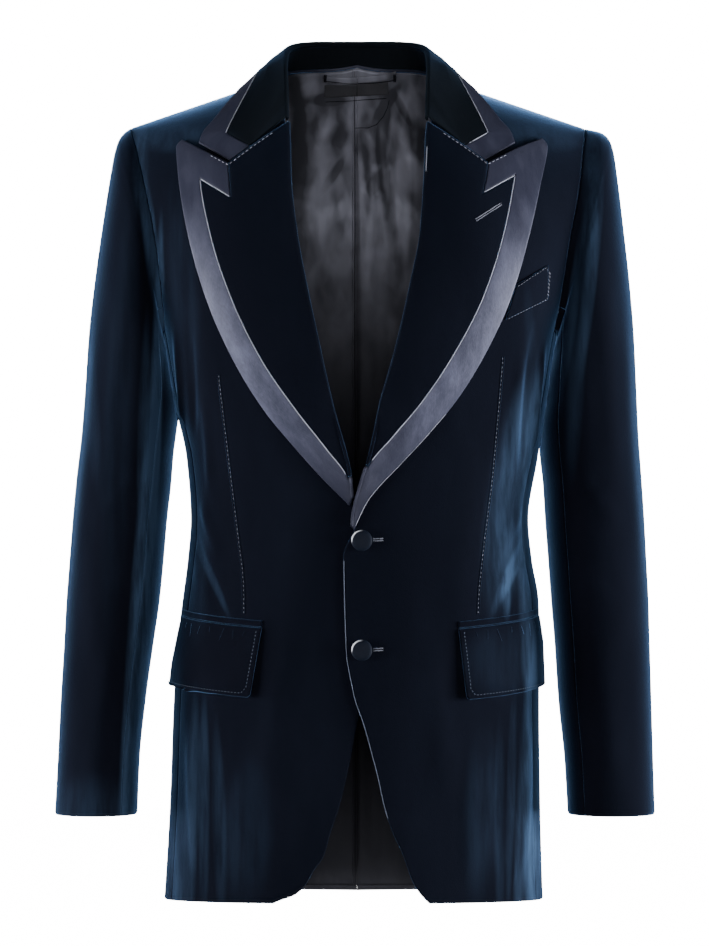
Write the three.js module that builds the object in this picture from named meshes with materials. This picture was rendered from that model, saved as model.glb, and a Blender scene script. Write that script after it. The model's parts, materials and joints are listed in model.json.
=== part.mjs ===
// A single-breasted velvet dinner jacket with satin-edged peak lapels, filled out as worn.
// Millimetres. +X is the wearer's left, -Y the front, +Z up. The origin is at the middle of the
// neck opening, level with the shoulders, where the jacket is held.
import * as THREE from "three";

// Driving sizes
const CHEST_Z = -235; // level of the armpits, where the body turns into the shoulders
const HEM_SHIFT = { front: 4.5, back: -3 }; // of the hem from its level at the sides
const SHOULDER = { x: 108, z: -1, slope: 0.34 }; // the shoulder line, from the collar outwards
const NECK = { halfWidth: 78, depth: 66, rise: 44 }; // the back neckline, and its rise over that line
const ARM_TOP_Z = -38.5;
const CLOTH = { body: 2, sleeve: 2, lapel: 2.2, collar: 2.2, stand: 2, flap: 2.4, lining: 1.2 };
const SEAM = 0.3; // the gap that parts two pieces at a seam
const LAP = 2.6; // how far the left front stands out where it laps over the right one
const ROLL_RADIUS = 3.6; // of the fold that lapels and collar turn over
const ROLL_END_RADIUS = 2.4; // of a lapel's fold at its lowest point
const LAPEL_BOW = 5; // how far a lapel's middle stands off the front
const BUTTON = { radius: 10, thickness: 5, x: 4.5, z: [-437, -541] };
const VENT = { top: -580, inset: 2.9, underlap: 11 }; // underlap in degrees round the body

// Half widths and depths of the body at each level. Right and left are the wearer's.
const BODY = [
  { z: -790, right: 187, left: 180.5, front: 126, back: 131, power: 2.4 },
  { z: -768, right: 185.5, left: 179.5, front: 125, back: 130, power: 2.4 },
  { z: -690, right: 181, left: 177.5, front: 124, back: 127, power: 2.4 },
  { z: -593, right: 177.5, left: 176.5, front: 122, back: 121, power: 2.4 },
  { z: -530, right: 173, left: 177, front: 119, back: 114, power: 2.4 },
  { z: -496, right: 169, left: 176, front: 117, back: 109, power: 2.4 },
  { z: -457, right: 164, left: 169.5, front: 115, back: 104, power: 2.4 },
  { z: -418, right: 161, left: 166, front: 114, back: 100, power: 2.4 },
  { z: -360, right: 165, left: 175, front: 118, back: 103, power: 2.4 },
  { z: -300, right: 178, left: 184, front: 123, back: 111, power: 2.5 },
  { z: -235, right: 189, left: 194, front: 125, back: 118, power: 2.6 },
  { z: -210, right: 195, left: 204, front: 125, back: 118, power: 2.6 },
  { z: -185, right: 202, left: 212, front: 125, back: 118, power: 2.6 },
  { z: -147, right: 211, left: 222, front: 125, back: 118, power: 2.6 },
  { z: -105, right: 221, left: 232, front: 125, back: 118, power: 2.6 },
  { z: -38, right: 231, left: 236, front: 125, back: 118, power: 2.6 },
];

// The levels at which every panel of the body is measured, up to the chest, close together where the
// fronts curve away and where the vents begin.
const LEVELS = [
  -785, -780, -775, -768, -758, -745, -728, -703, -670, -630, -586, -580, -562, -522, -480, -450, -434, -420,
  -402, -385, -360, -318, -276, -235,
];
const SHOULDER_ROWS = 7;

// The armhole's edge on the front and on the back, as the sleeve seam shows it.
const ARMHOLE = [
  { z: -235, right: 185, left: 190 },
  { z: -210, right: 187, left: 195 },
  { z: -185, right: 189.5, left: 199 },
  { z: -147, right: 194.7, left: 205 },
  { z: -105, right: 203, left: 213 },
  { z: -70, right: 211, left: 217 },
  { z: -38, right: 219, left: 221 },
];

// The fold of each lapel, and below it the free edge of each front, out from the centre line.
const RIGHT_EDGE = [
  { z: -790, x: 92 },
  { z: -780, x: 78 },
  { z: -772, x: 58 },
  { z: -763, x: 49 },
  { z: -749, x: 41 },
  { z: -736, x: 32 },
  { z: -714, x: 25.5 },
  { z: -692, x: 18 },
  { z: -669, x: 12 },
  { z: -643, x: 6.5 },
  { z: -616, x: 1.5 },
  { z: -587, x: -6 },
  { z: -549, x: -16 },
  { z: -500, x: -22 },
  { z: -437, x: -22 },
  { z: -420, x: -14 },
  { z: -408, x: -3 },
  { z: -394, x: 3 },
  { z: -375, x: 5 },
  { z: -356, x: 9 },
  { z: -309, x: 22 },
  { z: -247, x: 36 },
  { z: -190, x: 48 },
  { z: -147, x: 56 },
  { z: -94, x: 62 },
  { z: -37, x: 64 },
  { z: 8, x: 72 },
];
const LEFT_EDGE = [
  { z: -790, x: 84 },
  { z: -780, x: 68 },
  { z: -766, x: 56 },
  { z: -757, x: 51.5 },
  { z: -736, x: 44 },
  { z: -714, x: 34 },
  { z: -691, x: 26 },
  { z: -660, x: 19 },
  { z: -637, x: 13 },
  { z: -613, x: 6.5 },
  { z: -587, x: -2.5 },
  { z: -566, x: -7 },
  { z: -549, x: -10 },
  { z: -520, x: -11.5 },
  { z: -476, x: -12.7 },
  { z: -455, x: -13 },
  { z: -444, x: -13.6 },
  { z: -433, x: -10.9 },
  { z: -424, x: -6.6 },
  { z: -412, x: -5.4 },
  { z: -400, x: -3 },
  { z: -389, x: 0 },
  { z: -371, x: 5.4 },
  { z: -362, x: 9 },
  { z: -307, x: 21 },
  { z: -254, x: 36 },
  { z: -188, x: 51 },
  { z: -147, x: 59 },
  { z: -94, x: 63 },
  { z: -37, x: 66 },
  { z: 8, x: 73 },
];

// Lines that a lapel is drawn between, from its lowest point (v = 0) to the collar (v = 1): the
// fold's height, the line down from the notch, the satin band's inner edge and the outer edge.
const RIGHT_LAPEL = [
  { v: 0, rollZ: -396, notchX: 4, notchZ: -397, bandX: 4.8, bandZ: -398, edgeX: 7, edgeZ: -404 },
  { v: 0.06, rollZ: -376, notchX: 7, notchZ: -377, bandX: 9, bandZ: -378, edgeX: 32, edgeZ: -379 },
  { v: 0.15, rollZ: -345, notchX: 21, notchZ: -349, bandX: 28, bandZ: -351, edgeX: 57, edgeZ: -351 },
  { v: 0.3, rollZ: -295, notchX: 45, notchZ: -308, bandX: 58, bandZ: -312, edgeX: 88, edgeZ: -313 },
  { v: 0.45, rollZ: -240, notchX: 70, notchZ: -262, bandX: 88, bandZ: -268, edgeX: 114, edgeZ: -271 },
  { v: 0.6, rollZ: -185, notchX: 91, notchZ: -205, bandX: 117, bandZ: -209, edgeX: 140, edgeZ: -214 },
  { v: 0.76, rollZ: -122, notchX: 107, notchZ: -145, bandX: 138, bandZ: -146, edgeX: 159, edgeZ: -151 },
  { v: 0.9, rollZ: -72, notchX: 118, notchZ: -113, bandX: 148, bandZ: -94, edgeX: 169, edgeZ: -98 },
  { v: 0.97, rollZ: -47, notchX: 120, notchZ: -90, bandX: 149, bandZ: -73, edgeX: 172.5, edgeZ: -62 },
  { v: 1, rollZ: -37, notchX: 121, notchZ: -79, bandX: 150, bandZ: -63, edgeX: 166, edgeZ: -53.5 },
];
const LEFT_LAPEL = [
  { v: 0, rollZ: -424, notchX: -4.8, notchZ: -424.6, bandX: -4, bandZ: -425, edgeX: -3.1, edgeZ: -427 },
  { v: 0.03, rollZ: -396, notchX: -0.2, notchZ: -396.6, bandX: 0.8, bandZ: -397, edgeX: 11, edgeZ: -398 },
  { v: 0.06, rollZ: -366, notchX: 9.2, notchZ: -366.6, bandX: 10.4, bandZ: -367, edgeX: 40, edgeZ: -366 },
  { v: 0.15, rollZ: -336, notchX: 26, notchZ: -338, bandX: 33, bandZ: -339, edgeX: 64, edgeZ: -340 },
  { v: 0.3, rollZ: -290, notchX: 47, notchZ: -300, bandX: 64, bandZ: -301, edgeX: 96, edgeZ: -301 },
  { v: 0.45, rollZ: -238, notchX: 70, notchZ: -254, bandX: 93, bandZ: -256, edgeX: 122, edgeZ: -258 },
  { v: 0.6, rollZ: -185, notchX: 91, notchZ: -203, bandX: 119, bandZ: -204, edgeX: 146, edgeZ: -205 },
  { v: 0.76, rollZ: -122, notchX: 108, notchZ: -143, bandX: 138, bandZ: -145, edgeX: 163, edgeZ: -148 },
  { v: 0.9, rollZ: -74, notchX: 118, notchZ: -109, bandX: 149, bandZ: -91, edgeX: 175, edgeZ: -96 },
  { v: 0.97, rollZ: -48, notchX: 122, notchZ: -89, bandX: 152, bandZ: -72, edgeX: 182, edgeZ: -61 },
  { v: 1, rollZ: -37, notchX: 123, notchZ: -79, bandX: 153, bandZ: -63, edgeX: 176, edgeZ: -52 },
];
const LAPEL_FOOT = { right: -426, left: -455 }; // from where a front's edge makes room for the fold
const LAPEL_WRAP = 0.06; // up to here the satin runs on over the fold
const LAPEL_TURN = 0.9; // the row where the satin turns across to the notch

// The collar from the centre back (s = 0) to where it meets the lapel (s = 1): the crest of its fold,
// and its outer edge on the shoulder, by x and by the turn from the chest front (0) to the back (180).
const COLLAR = [
  { s: 0, foldX: 0, foldY: 66, foldZ: 51, edgeX: 0, edgeTurn: 130 },
  { s: 0.17, foldX: 34, foldY: 65, foldZ: 51, edgeX: 41, edgeTurn: 124.5 },
  { s: 0.33, foldX: 56, foldY: 47, foldZ: 48, edgeX: 77, edgeTurn: 107 },
  { s: 0.5, foldX: 66, foldY: 12, foldZ: 38, edgeX: 106, edgeTurn: 94 },
  { s: 0.67, foldX: 67, foldY: -20, foldZ: 22, edgeX: 118, edgeTurn: 77 },
  { s: 0.83, foldX: 66, foldY: -47, foldZ: -2, edgeX: 135, edgeTurn: 64 },
  { s: 0.93, foldX: 65.5, foldY: -63, foldZ: -21, edgeX: 147, edgeTurn: 58 },
  { s: 1, foldX: 65, foldY: -77, foldZ: -35, edgeX: 151, edgeTurn: 53.2 },
];
const GORGE = { x: 102, turn: 46.8, from: 0.93 }; // where velvet, satin and lapel meet at the collar's end
const COLLAR_BAND = { width: 24, cornerX: 124, cornerTurn: 54, notchX: 121, notchTurn: 43.6 };

// Sections of a sleeve: where its outer side and its inner side lie, its middle and half depth. seam
// is how much of the armhole's own outline is left in the section.
const SLEEVE = [
  { outR: 219.4, outL: 221.4, outZ: -38.7, inR: 188.8, inL: 193.8, inZ: -243, y: 0, depth: 59, seam: 1 },
  { outR: 225, outL: 237, outZ: -42.5, inR: 190.2, inL: 195.2, inZ: -246, y: 0, depth: 61, seam: 0.8 },
  { outR: 231, outL: 245, outZ: -50, inR: 188, inL: 193, inZ: -250, y: 0, depth: 63, seam: 0.6 },
  { outR: 235, outL: 249, outZ: -62, inR: 184, inL: 189.5, inZ: -255, y: 1, depth: 66, seam: 0.4 },
  { outR: 240, outL: 253, outZ: -90, inR: 180.5, inL: 186.5, inZ: -262, y: 1, depth: 69, seam: 0.2 },
  { outR: 246.5, outL: 258, outZ: -132, inR: 177.5, inL: 184, inZ: -272, y: 2, depth: 72, seam: 0 },
  { outR: 254, outL: 264, outZ: -185, inR: 174.5, inL: 181, inZ: -288, y: 3, depth: 74, seam: 0 },
  { outR: 260, outL: 268.5, outZ: -238, inR: 172, inL: 178.5, inZ: -308, y: 4, depth: 74, seam: 0 },
  { outR: 263.5, outL: 271, outZ: -290, inR: 174.6, inL: 176, inZ: -330, y: 4, depth: 73.5, seam: 0 },
  { outR: 267, outL: 273, outZ: -335, inR: 178, inL: 177.4, inZ: -356, y: 4, depth: 73, seam: 0 },
  { outR: 272, outL: 276, outZ: -378, inR: 180.2, inL: 180.4, inZ: -384, y: 3, depth: 72, seam: 0 },
  { outR: 275.5, outL: 278.5, outZ: -417, inR: 184, inL: 182.4, inZ: -418, y: 1, depth: 71, seam: 0 },
  { outR: 278.4, outL: 280.4, outZ: -457, inR: 187.2, inL: 185.2, inZ: -457, y: -3, depth: 69, seam: 0 },
  { outR: 281.2, outL: 282.2, outZ: -497, inR: 191, inL: 188, inZ: -497, y: -8, depth: 66, seam: 0 },
  { outR: 283, outL: 283, outZ: -536, inR: 196.5, inL: 191, inZ: -536, y: -13, depth: 63, seam: 0 },
  { outR: 286, outL: 284.3, outZ: -592, inR: 204, inL: 194.5, inZ: -592, y: -20, depth: 59, seam: 0 },
  { outR: 288.4, outL: 285.5, outZ: -648, inR: 209.5, inL: 200, inZ: -648, y: -27, depth: 55, seam: 0 },
  { outR: 291, outL: 287, outZ: -701, inR: 211.5, inL: 203, inZ: -701, y: -32, depth: 52, seam: 0 },
];
const SLEEVE_SEAMS = { fore: 131, hind: 240 }; // degrees round a section, from its outer side by the front

// The largest creases: soft troughs over a sleeve, at a height and an angle round it.
const SLEEVE_FOLDS = [
  { side: -1, z: -395, turn: 95, depth: 3.2, height: 13, spread: 42, rise: -26 },
  { side: -1, z: -452, turn: 120, depth: 2.4, height: 12, spread: 36, rise: 22 },
  { side: -1, z: -300, turn: 70, depth: 2.6, height: 18, spread: 34, rise: 40 },
  { side: -1, z: -610, turn: 75, depth: 2, height: 16, spread: 44, rise: -18 },
  { side: -1, z: -430, turn: 250, depth: 2.8, height: 14, spread: 44, rise: 18 },
  { side: 1, z: -388, turn: 100, depth: 3, height: 14, spread: 40, rise: 24 },
  { side: 1, z: -470, turn: 70, depth: 2.6, height: 13, spread: 42, rise: -22 },
  { side: 1, z: -310, turn: 60, depth: 2.6, height: 17, spread: 34, rise: -36 },
  { side: 1, z: -585, turn: 105, depth: 2.2, height: 15, spread: 44, rise: 16 },
  { side: 1, z: -415, turn: 246, depth: 3, height: 14, spread: 44, rise: -20 },
];

// Pocket flaps by their corners: x out from the centre at the inner and the outer end, and heights.
const FLAPS = {
  right: { inner: 90, outer: 167, top: -520, topOuter: -511, low: -586, lowOuter: -576, drift: 10 },
  left: { inner: 96, outer: 173.5, top: -521, topOuter: -510, low: -588, lowOuter: -577, drift: 6 },
};
const FLAP_SWING = 4; // how far a flap's lower edge stands off the front
const JET = { height: 6, thickness: 1.5 };
const WELT = { innerTop: 151, innerLow: 141, outer: 181.5, topZ: [-194, -175], lowZ: [-227, -207], thickness: 2 };

const LOOP = { x: 3, halfWidth: 38, tilt: 2, width: 6.4, thickness: 1.4 };
const LABEL = { x: -0.5, halfWidth: 33, height: 13, thickness: 0.8 };

const COLOURS = {
  velvet: { color: 0x131f2e, roughness: 0.9, metalness: 0 },
  satin: { color: 0x4a4c5a, roughness: 0.45, metalness: 0 },
  lining: { color: 0x44444c, roughness: 0.5, metalness: 0 },
  button: { color: 0x3d4252, roughness: 0.4, metalness: 0 },
  label: { color: 0x4c4c52, roughness: 0.7, metalness: 0 },
};

const RADIANS = Math.PI / 180;
const RIDGE_TURN = 89.8; // where front and back end, half a seam short of the shoulder line
const SEAM_TURN = 0.25; // a seam's width in degrees round the body
const CENTRE_TURN = 0.02; // half of it at the centre back
const mix = (a, b, t) => a + (b - a) * t;
const clamp = (t, low = 0, high = 1) => Math.min(high, Math.max(low, t));
const ease = (t) => clamp(t) ** 2 * (3 - 2 * clamp(t));
const signedPower = (a, p) => Math.sign(a) * Math.abs(a) ** p;
const sideName = (side) => (side < 0 ? "right" : "left");

// A smooth curve through one column of a table that never swings past its rows.
function curve(rows, key, column) {
  const x = rows.map((row) => row[key]);
  const y = rows.map((row) => row[column]);
  const slope = x.slice(1).map((next, i) => (y[i + 1] - y[i]) / (next - x[i]));
  const tangent = x.map((_, i) => {
    const before = slope[Math.max(i - 1, 0)];
    const after = slope[Math.min(i, slope.length - 1)];
    return before * after <= 0 ? 0 : (2 * before * after) / (before + after);
  });
  return (at) => {
    let i = 0;
    while (i < x.length - 2 && at > x[i + 1]) i += 1;
    const width = x[i + 1] - x[i];
    const t = clamp((at - x[i]) / width);
    const rest = 1 - t;
    return (
      y[i] * (1 + 2 * t) * rest ** 2 +
      tangent[i] * width * t * rest ** 2 +
      y[i + 1] * t ** 2 * (3 - 2 * t) -
      tangent[i + 1] * width * t ** 2 * rest
    );
  };
}

const body = Object.fromEntries(
  ["right", "left", "front", "back", "power"].map((column) => [column, curve(BODY, "z", column)]),
);
const armhole = { right: curve(ARMHOLE, "z", "right"), left: curve(ARMHOLE, "z", "left") };
const frontEdge = { right: curve(RIGHT_EDGE, "z", "x"), left: curve(LEFT_EDGE, "z", "x") };
const lapelLines = { right: lines(RIGHT_LAPEL, "v"), left: lines(LEFT_LAPEL, "v") };
const collarLines = lines(COLLAR, "s");

function lines(rows, key) {
  const columns = Object.keys(rows[0]).filter((column) => column !== key);
  return Object.fromEntries(columns.map((column) => [column, curve(rows, key, column)]));
}

// Height of the shoulder line at x, and of the back's own ridge, which rises to the back neck.
const shoulderZ = (x) => SHOULDER.z - SHOULDER.slope * (x - SHOULDER.x);
const neckRise = (x) => NECK.rise * clamp(1 - (x / NECK.halfWidth) ** 2) ** 0.8;
const ridgeZ = (x, back) => shoulderZ(x) + (back ? neckRise(x) : 0);

// A point of the body below the chest: angle 0 at the centre front, 90 at the side, 180 at the back.
function bodyPoint(side, z, angle) {
  const a = body[sideName(side)](z);
  const n = body.power(z);
  const depth = angle < 90 ? body.front(z) : body.back(z);
  const x = side * a * signedPower(Math.sin(angle * RADIANS), 2 / n);
  return new THREE.Vector3(x, -depth * signedPower(Math.cos(angle * RADIANS), 2 / n), z);
}

// The angle at which bodyPoint has the given x.
function angleAt(side, z, x) {
  const share = clamp(x / body[sideName(side)](z), -1, 1);
  return Math.asin(signedPower(share, body.power(z) / 2)) / RADIANS;
}

// A point of the shoulders: turn 0 at the chest front, 90 on the shoulder line, 180 at the back.
function shoulderPoint(side, x, turn) {
  const back = turn > 90;
  const sine = Math.sin(turn * RADIANS);
  const level = mix(CHEST_Z, ARM_TOP_Z, sine);
  const share = clamp(Math.abs(x) / body[sideName(side)](level));
  const depth = (back ? body.back : body.front)(CHEST_Z) * (1 - share ** 2.6) ** (1 / 2.6);
  const z = mix(CHEST_Z, ridgeZ(Math.abs(x), back), sine);
  return new THREE.Vector3(side * x, -depth * Math.cos(turn * RADIANS), z);
}

// The front's surface at x and z as seen from the front, at any height.
function frontPoint(side, x, z) {
  if (z <= CHEST_Z) return bodyPoint(side, z, angleAt(side, z, x));
  return shoulderPoint(side, x, turnAt(x, z));
}

function turnAt(x, z) {
  const share = clamp((z - CHEST_Z) / (shoulderZ(Math.abs(x)) - CHEST_Z));
  return Math.asin(share) / RADIANS;
}

// How far the left front is moved out to lap over the right one.
function lapLift(side, x, z) {
  if (side < 0) return 0;
  return LAP * ease((85 - x) / 50) * ease((-372 - z) / 26);
}

// A point on the front, moved out from it by lift.
function onFront(side, x, z, lift) {
  const step = 0.5;
  const at = frontPoint(side, x, z);
  const across = frontPoint(side, x + step, z).sub(frontPoint(side, x - step, z));
  const up = frontPoint(side, x, z + step).sub(frontPoint(side, x, z - step));
  const out = up.cross(across).normalize();
  if (out.y > 0) out.negate();
  return at.addScaledVector(out, lift + lapLift(side, x, z));
}

// The normals of a grid's points. A narrow cell counts for more than a wide one, so that both
// sides of a seam turn the same way.
function gridNormals(grid) {
  const normals = grid.map((row) => row.map(() => new THREE.Vector3()));
  for (let j = 0; j < grid.length - 1; j += 1)
    for (let i = 0; i < grid[0].length - 1; i += 1) {
      const one = grid[j + 1][i + 1].clone().sub(grid[j][i]);
      const face = one.cross(grid[j + 1][i].clone().sub(grid[j][i + 1]));
      face.divideScalar(Math.max(face.lengthSq(), 1e-9));
      for (const [b, a] of [[j, i], [j, i + 1], [j + 1, i + 1], [j + 1, i]]) normals[b][a].add(face);
    }
  return normals.map((row) => row.map((normal) => normal.normalize()));
}

// A closed wall over a grid of points on its outer face. keep says which cells are cloth.
function clothGeometry(grid, thickness, keep = () => true) {
  const rows = grid.length;
  const columns = grid[0].length;
  const normals = gridNormals(grid);
  const positions = [];
  for (let layer = 0; layer < 2; layer += 1)
    grid.forEach((row, j) =>
      row.forEach((point, i) => {
        const at = point.clone().addScaledVector(normals[j][i], layer ? -thickness : 0);
        positions.push(at.x, at.y, at.z);
      }),
    );
  const cloth = (j, i) => j >= 0 && i >= 0 && j < rows - 1 && i < columns - 1 && keep(i, j);
  const outer = (j, i) => j * columns + i;
  const inner = (j, i) => rows * columns + j * columns + i;
  const faces = [];
  const quad = (a, b, c, d) => faces.push(a, b, c, a, c, d);
  for (let j = 0; j < rows - 1; j += 1)
    for (let i = 0; i < columns - 1; i += 1) {
      if (!cloth(j, i)) continue;
      quad(outer(j, i), outer(j, i + 1), outer(j + 1, i + 1), outer(j + 1, i));
      quad(inner(j, i), inner(j + 1, i), inner(j + 1, i + 1), inner(j, i + 1));
      const rim = (b, a, d, c) => quad(outer(d, c), outer(b, a), inner(b, a), inner(d, c));
      if (!cloth(j - 1, i)) rim(j, i, j, i + 1);
      if (!cloth(j, i + 1)) rim(j, i + 1, j + 1, i + 1);
      if (!cloth(j + 1, i)) rim(j + 1, i + 1, j + 1, i);
      if (!cloth(j, i - 1)) rim(j + 1, i, j, i);
    }
  const geometry = new THREE.BufferGeometry();
  geometry.setAttribute("position", new THREE.Float32BufferAttribute(positions, 3));
  geometry.setIndex(faces);
  return geometry;
}

// A grid of points over one side of the jacket, mirrored on the right so that it faces out.
function gridOf(rows, columns, side, place) {
  return rows.map((v) => {
    const row = columns.map((u) => place(u, v));
    return side < 0 ? row.reverse() : row;
  });
}

// The same grid with a thin border on both sides and on top, which turns the edges' normals as the
// neighbours' are turned, and isn't cloth.
const BORDER = 0.01;
const bordered = (list) => [list[0] - BORDER, ...list, list.at(-1) + BORDER];

function borderedCloth(rows, columns, side, place, thickness) {
  const grid = gridOf([...rows, rows.at(-1) + BORDER], bordered(columns), side, place);
  return clothGeometry(grid, thickness, (i, j) => i > 0 && i <= columns.length - 1 && j < rows.length - 1);
}

const steps = (count, from = 0, to = 1) =>
  Array.from({ length: count + 1 }, (_, i) => mix(from, to, i / count));

const jacket = new THREE.Group();
const materials = Object.fromEntries(
  Object.entries(COLOURS).map(([name, look]) => [name, new THREE.MeshStandardMaterial(look)]),
);

function add(name, geometry, cloth) {
  const mesh = new THREE.Mesh(geometry, materials[cloth]);
  mesh.name = name;
  jacket.add(mesh);
}

// Where the side panel's seams run, as a share of the body's half width.
const seamShare = (z) => mix(0.955, 0.979, ease((z + 400) / 160));
const frontSeam = (side, z) => angleAt(side, z, seamShare(z) * body[sideName(side)](z));

// A row below the chest has a whole number, and one above it goes on to the shoulder line.
const CHEST_ROW = LEVELS.length - 1;
const panelRows = (lowRows) => steps(lowRows + SHOULDER_ROWS, 0, lowRows + SHOULDER_ROWS);
const levelAt = (row) => LEVELS[Math.round(clamp(row, 0, CHEST_ROW))];
const riseAt = (row) => (row - CHEST_ROW) / SHOULDER_ROWS;

// A row's height at one angle: the hem is a little higher in front and lower behind.
function rowZ(row, angle) {
  const level = levelAt(row);
  const down = clamp((CHEST_Z - level) / (CHEST_Z - LEVELS[0])) ** 3;
  const round = angle / 90 - 1;
  const shift = round < 0 ? HEM_SHIFT.front * (1 - (round + 1) ** 2) : HEM_SHIFT.back * round ** 2;
  return level + shift * down;
}

const HEM_CORNER = 25; // the angle round the body at which the fronts' hem begins

// The angle round the body at which x lies a share of the way out to the armhole.
const shareAt = (from, to, u) => Math.sin(mix(Math.asin(from ** 1.3), Math.asin(to ** 1.3), u)) ** (1 / 1.3);

// The front: below the chest by angle round the body, above it from the fold to the armhole.
function frontPanelPoint(side, u, row) {
  const edge = frontEdge[sideName(side)];
  const inset = (z) => (ROLL_RADIUS + 1.6) * ease((z - LAPEL_FOOT[sideName(side)]) / 23);
  if (row <= CHEST_ROW) {
    const level = levelAt(row);
    const from = angleAt(side, level, edge(rowZ(row, HEM_CORNER)) + inset(level));
    const angle = mix(from, frontSeam(side, level) - SEAM_TURN, u);
    const z = rowZ(row, angle);
    const x = side * bodyPoint(side, level, angle).x;
    return onFront(side, x, z, 0);
  }
  const turn = riseAt(row) * RIDGE_TURN;
  const sine = Math.sin(turn * RADIANS);
  const level = mix(CHEST_Z, ARM_TOP_Z, sine);
  const foldZ = mix(CHEST_Z, shoulderZ(edge(0)), sine);
  const a = body[sideName(side)](level);
  const from = (edge(foldZ) + inset(foldZ) + 4 * ease(foldZ / 10)) / a;
  const to = armhole[sideName(side)](level) / a;
  return shoulderPoint(side, shareAt(from, to, u) * a, turn);
}

function makeFront(side) {
  const place = (u, row) => frontPanelPoint(side, u, row);
  const geometry = borderedCloth(panelRows(CHEST_ROW), steps(10), side, place, CLOTH.body);
  add("front_" + sideName(side), geometry, "velvet");
}

// How far the armhole dips under the arm, between the front's and the back's seams.
const underarmDip = (u) => 8 * Math.sin(Math.PI * clamp(u));

function makeSidePanel(side) {
  const place = (u, row) => {
    const level = levelAt(row);
    const from = frontSeam(side, level);
    const angle = mix(from, 180 - from, u);
    const dip = underarmDip(u) * clamp(1 - (CHEST_Z - level) / 60);
    return bodyPoint(side, rowZ(row, angle) - dip, angle);
  };
  const geometry = borderedCloth(steps(CHEST_ROW, 0, CHEST_ROW), steps(5), side, place, CLOTH.body);
  add("side_" + sideName(side), geometry, "velvet");
}

// The back, whose vent runs on under the side panel below VENT.top. Its columns are close together
// where the neckline is, and its last one is the vent's underlap.
const BACK_COLUMNS = [0, 0.12, 0.24, 0.355, 0.5, 0.63, 0.76, 0.88, 1];
const VENT_COLUMN = BACK_COLUMNS.at(-2);

function backPoint(side, u, row) {
  if (u < 0) return backPoint(side, -u, row).setX(-backPoint(side, -u, row).x);
  if (row <= CHEST_ROW) {
    const level = levelAt(row);
    const seam = 180 - frontSeam(side, level) + SEAM_TURN;
    let angle = mix(180 - CENTRE_TURN, seam, u);
    if (level < VENT.top) {
      angle = mix(180 - CENTRE_TURN, seam + 0.4, clamp(u / VENT_COLUMN));
      angle -= clamp((u - VENT_COLUMN) / (1 - VENT_COLUMN)) * VENT.underlap;
    }
    const at = bodyPoint(side, rowZ(row, angle), angle);
    const inward = new THREE.Vector3(-at.x, -at.y / 2, 0).normalize();
    const sunk = level <= VENT.top ? ease((u - 0.6) / (VENT_COLUMN - 0.6)) : 0;
    return at.addScaledVector(inward, VENT.inset * sunk);
  }
  const rise = riseAt(row);
  const level = mix(CHEST_Z, ARM_TOP_Z, Math.sin(rise * RIDGE_TURN * RADIANS));
  const out = armhole[sideName(side)](level);
  const low = Math.abs(bodyPoint(side, CHEST_Z, mix(180, 180 - frontSeam(side, CHEST_Z), u)).x);
  const x = mix((low / armhole[sideName(side)](CHEST_Z)) * out, u * out, ease(rise * 1.4));
  return shoulderPoint(side, Math.max(x, 0.15), 180 - rise * neckTurn(x));
}

function makeBack(side) {
  const place = (u, row) => backPoint(side, u, row);
  const geometry = borderedCloth(panelRows(CHEST_ROW), BACK_COLUMNS, -side, place, CLOTH.body);
  add("back_" + sideName(side), geometry, "velvet");
}

// The turn at which the back ends: on the shoulder line, or at the neckline near the centre.
function neckTurn(x) {
  const y = NECK.depth * Math.sqrt(clamp(1 - (x / NECK.halfWidth) ** 2));
  const share = x / body.right(ARM_TOP_Z);
  const depth = body.back(CHEST_Z) * (1 - share ** 2.6) ** (1 / 2.6);
  return Math.min(RIDGE_TURN, Math.acos(clamp(y / depth)) / RADIANS);
}

// The armhole all round, by the angle round the sleeve: 0 on top, 90 in front, 180 under the arm.
function armholePoint(side, angle) {
  const back = angle > 180;
  const round = back ? 360 - angle : angle;
  const lowest = 140;
  if (round <= lowest) {
    const turn = 90 * (1 - round / lowest);
    const level = mix(CHEST_Z, ARM_TOP_Z, Math.sin(turn * RADIANS));
    const x = armhole[sideName(side)](level);
    return shoulderPoint(side, x, back ? 180 - turn : turn);
  }
  const u = (round - lowest) / (180 - lowest) / 2;
  const from = frontSeam(side, CHEST_Z);
  const angleRound = mix(from, 180 - from, back ? 1 - u : u);
  return bodyPoint(side, CHEST_Z - underarmDip(u), angleRound);
}

const sleeveRows = SLEEVE.map((row, index) => ({ ...row, index }));
const sleeve = lines(sleeveRows, "index");

function sleeveEllipse(side, index, angle) {
  const letter = side < 0 ? "R" : "L";
  const out = new THREE.Vector2(sleeve["out" + letter](index), sleeve.outZ(index));
  const inside = new THREE.Vector2(sleeve["in" + letter](index), sleeve.inZ(index));
  const middle = out.clone().add(inside).multiplyScalar(0.5);
  const at = middle.clone().addScaledVector(out.clone().sub(middle), Math.cos(angle * RADIANS));
  const y = sleeve.y(index) - sleeve.depth(index) * signedPower(Math.sin(angle * RADIANS), 0.92);
  return new THREE.Vector3(side * at.x, y, at.y);
}

// The depth of the sleeve's creases at one place, inwards.
function sleeveCrease(side, angle, z) {
  return SLEEVE_FOLDS.filter((fold) => fold.side === side).reduce((sum, fold) => {
    const round = ((angle - fold.turn + 540) % 360) - 180;
    const level = (z - fold.z - (fold.rise * round) / fold.spread) / fold.height;
    return sum + fold.depth * Math.exp(-(level ** 2) - (round / fold.spread) ** 2);
  }, 0);
}

const SLEEVE_CLEARANCE = 1; // between the sleeve and the body that it hangs against

// The body's half width at a height and a depth.
function bodyReach(side, z, y) {
  const n = body.power(z);
  const depth = (y < 0 ? body.front : body.back)(z);
  return body[sideName(side)](z) * (1 - clamp(Math.abs(y) / depth) ** n) ** (1 / n);
}

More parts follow.
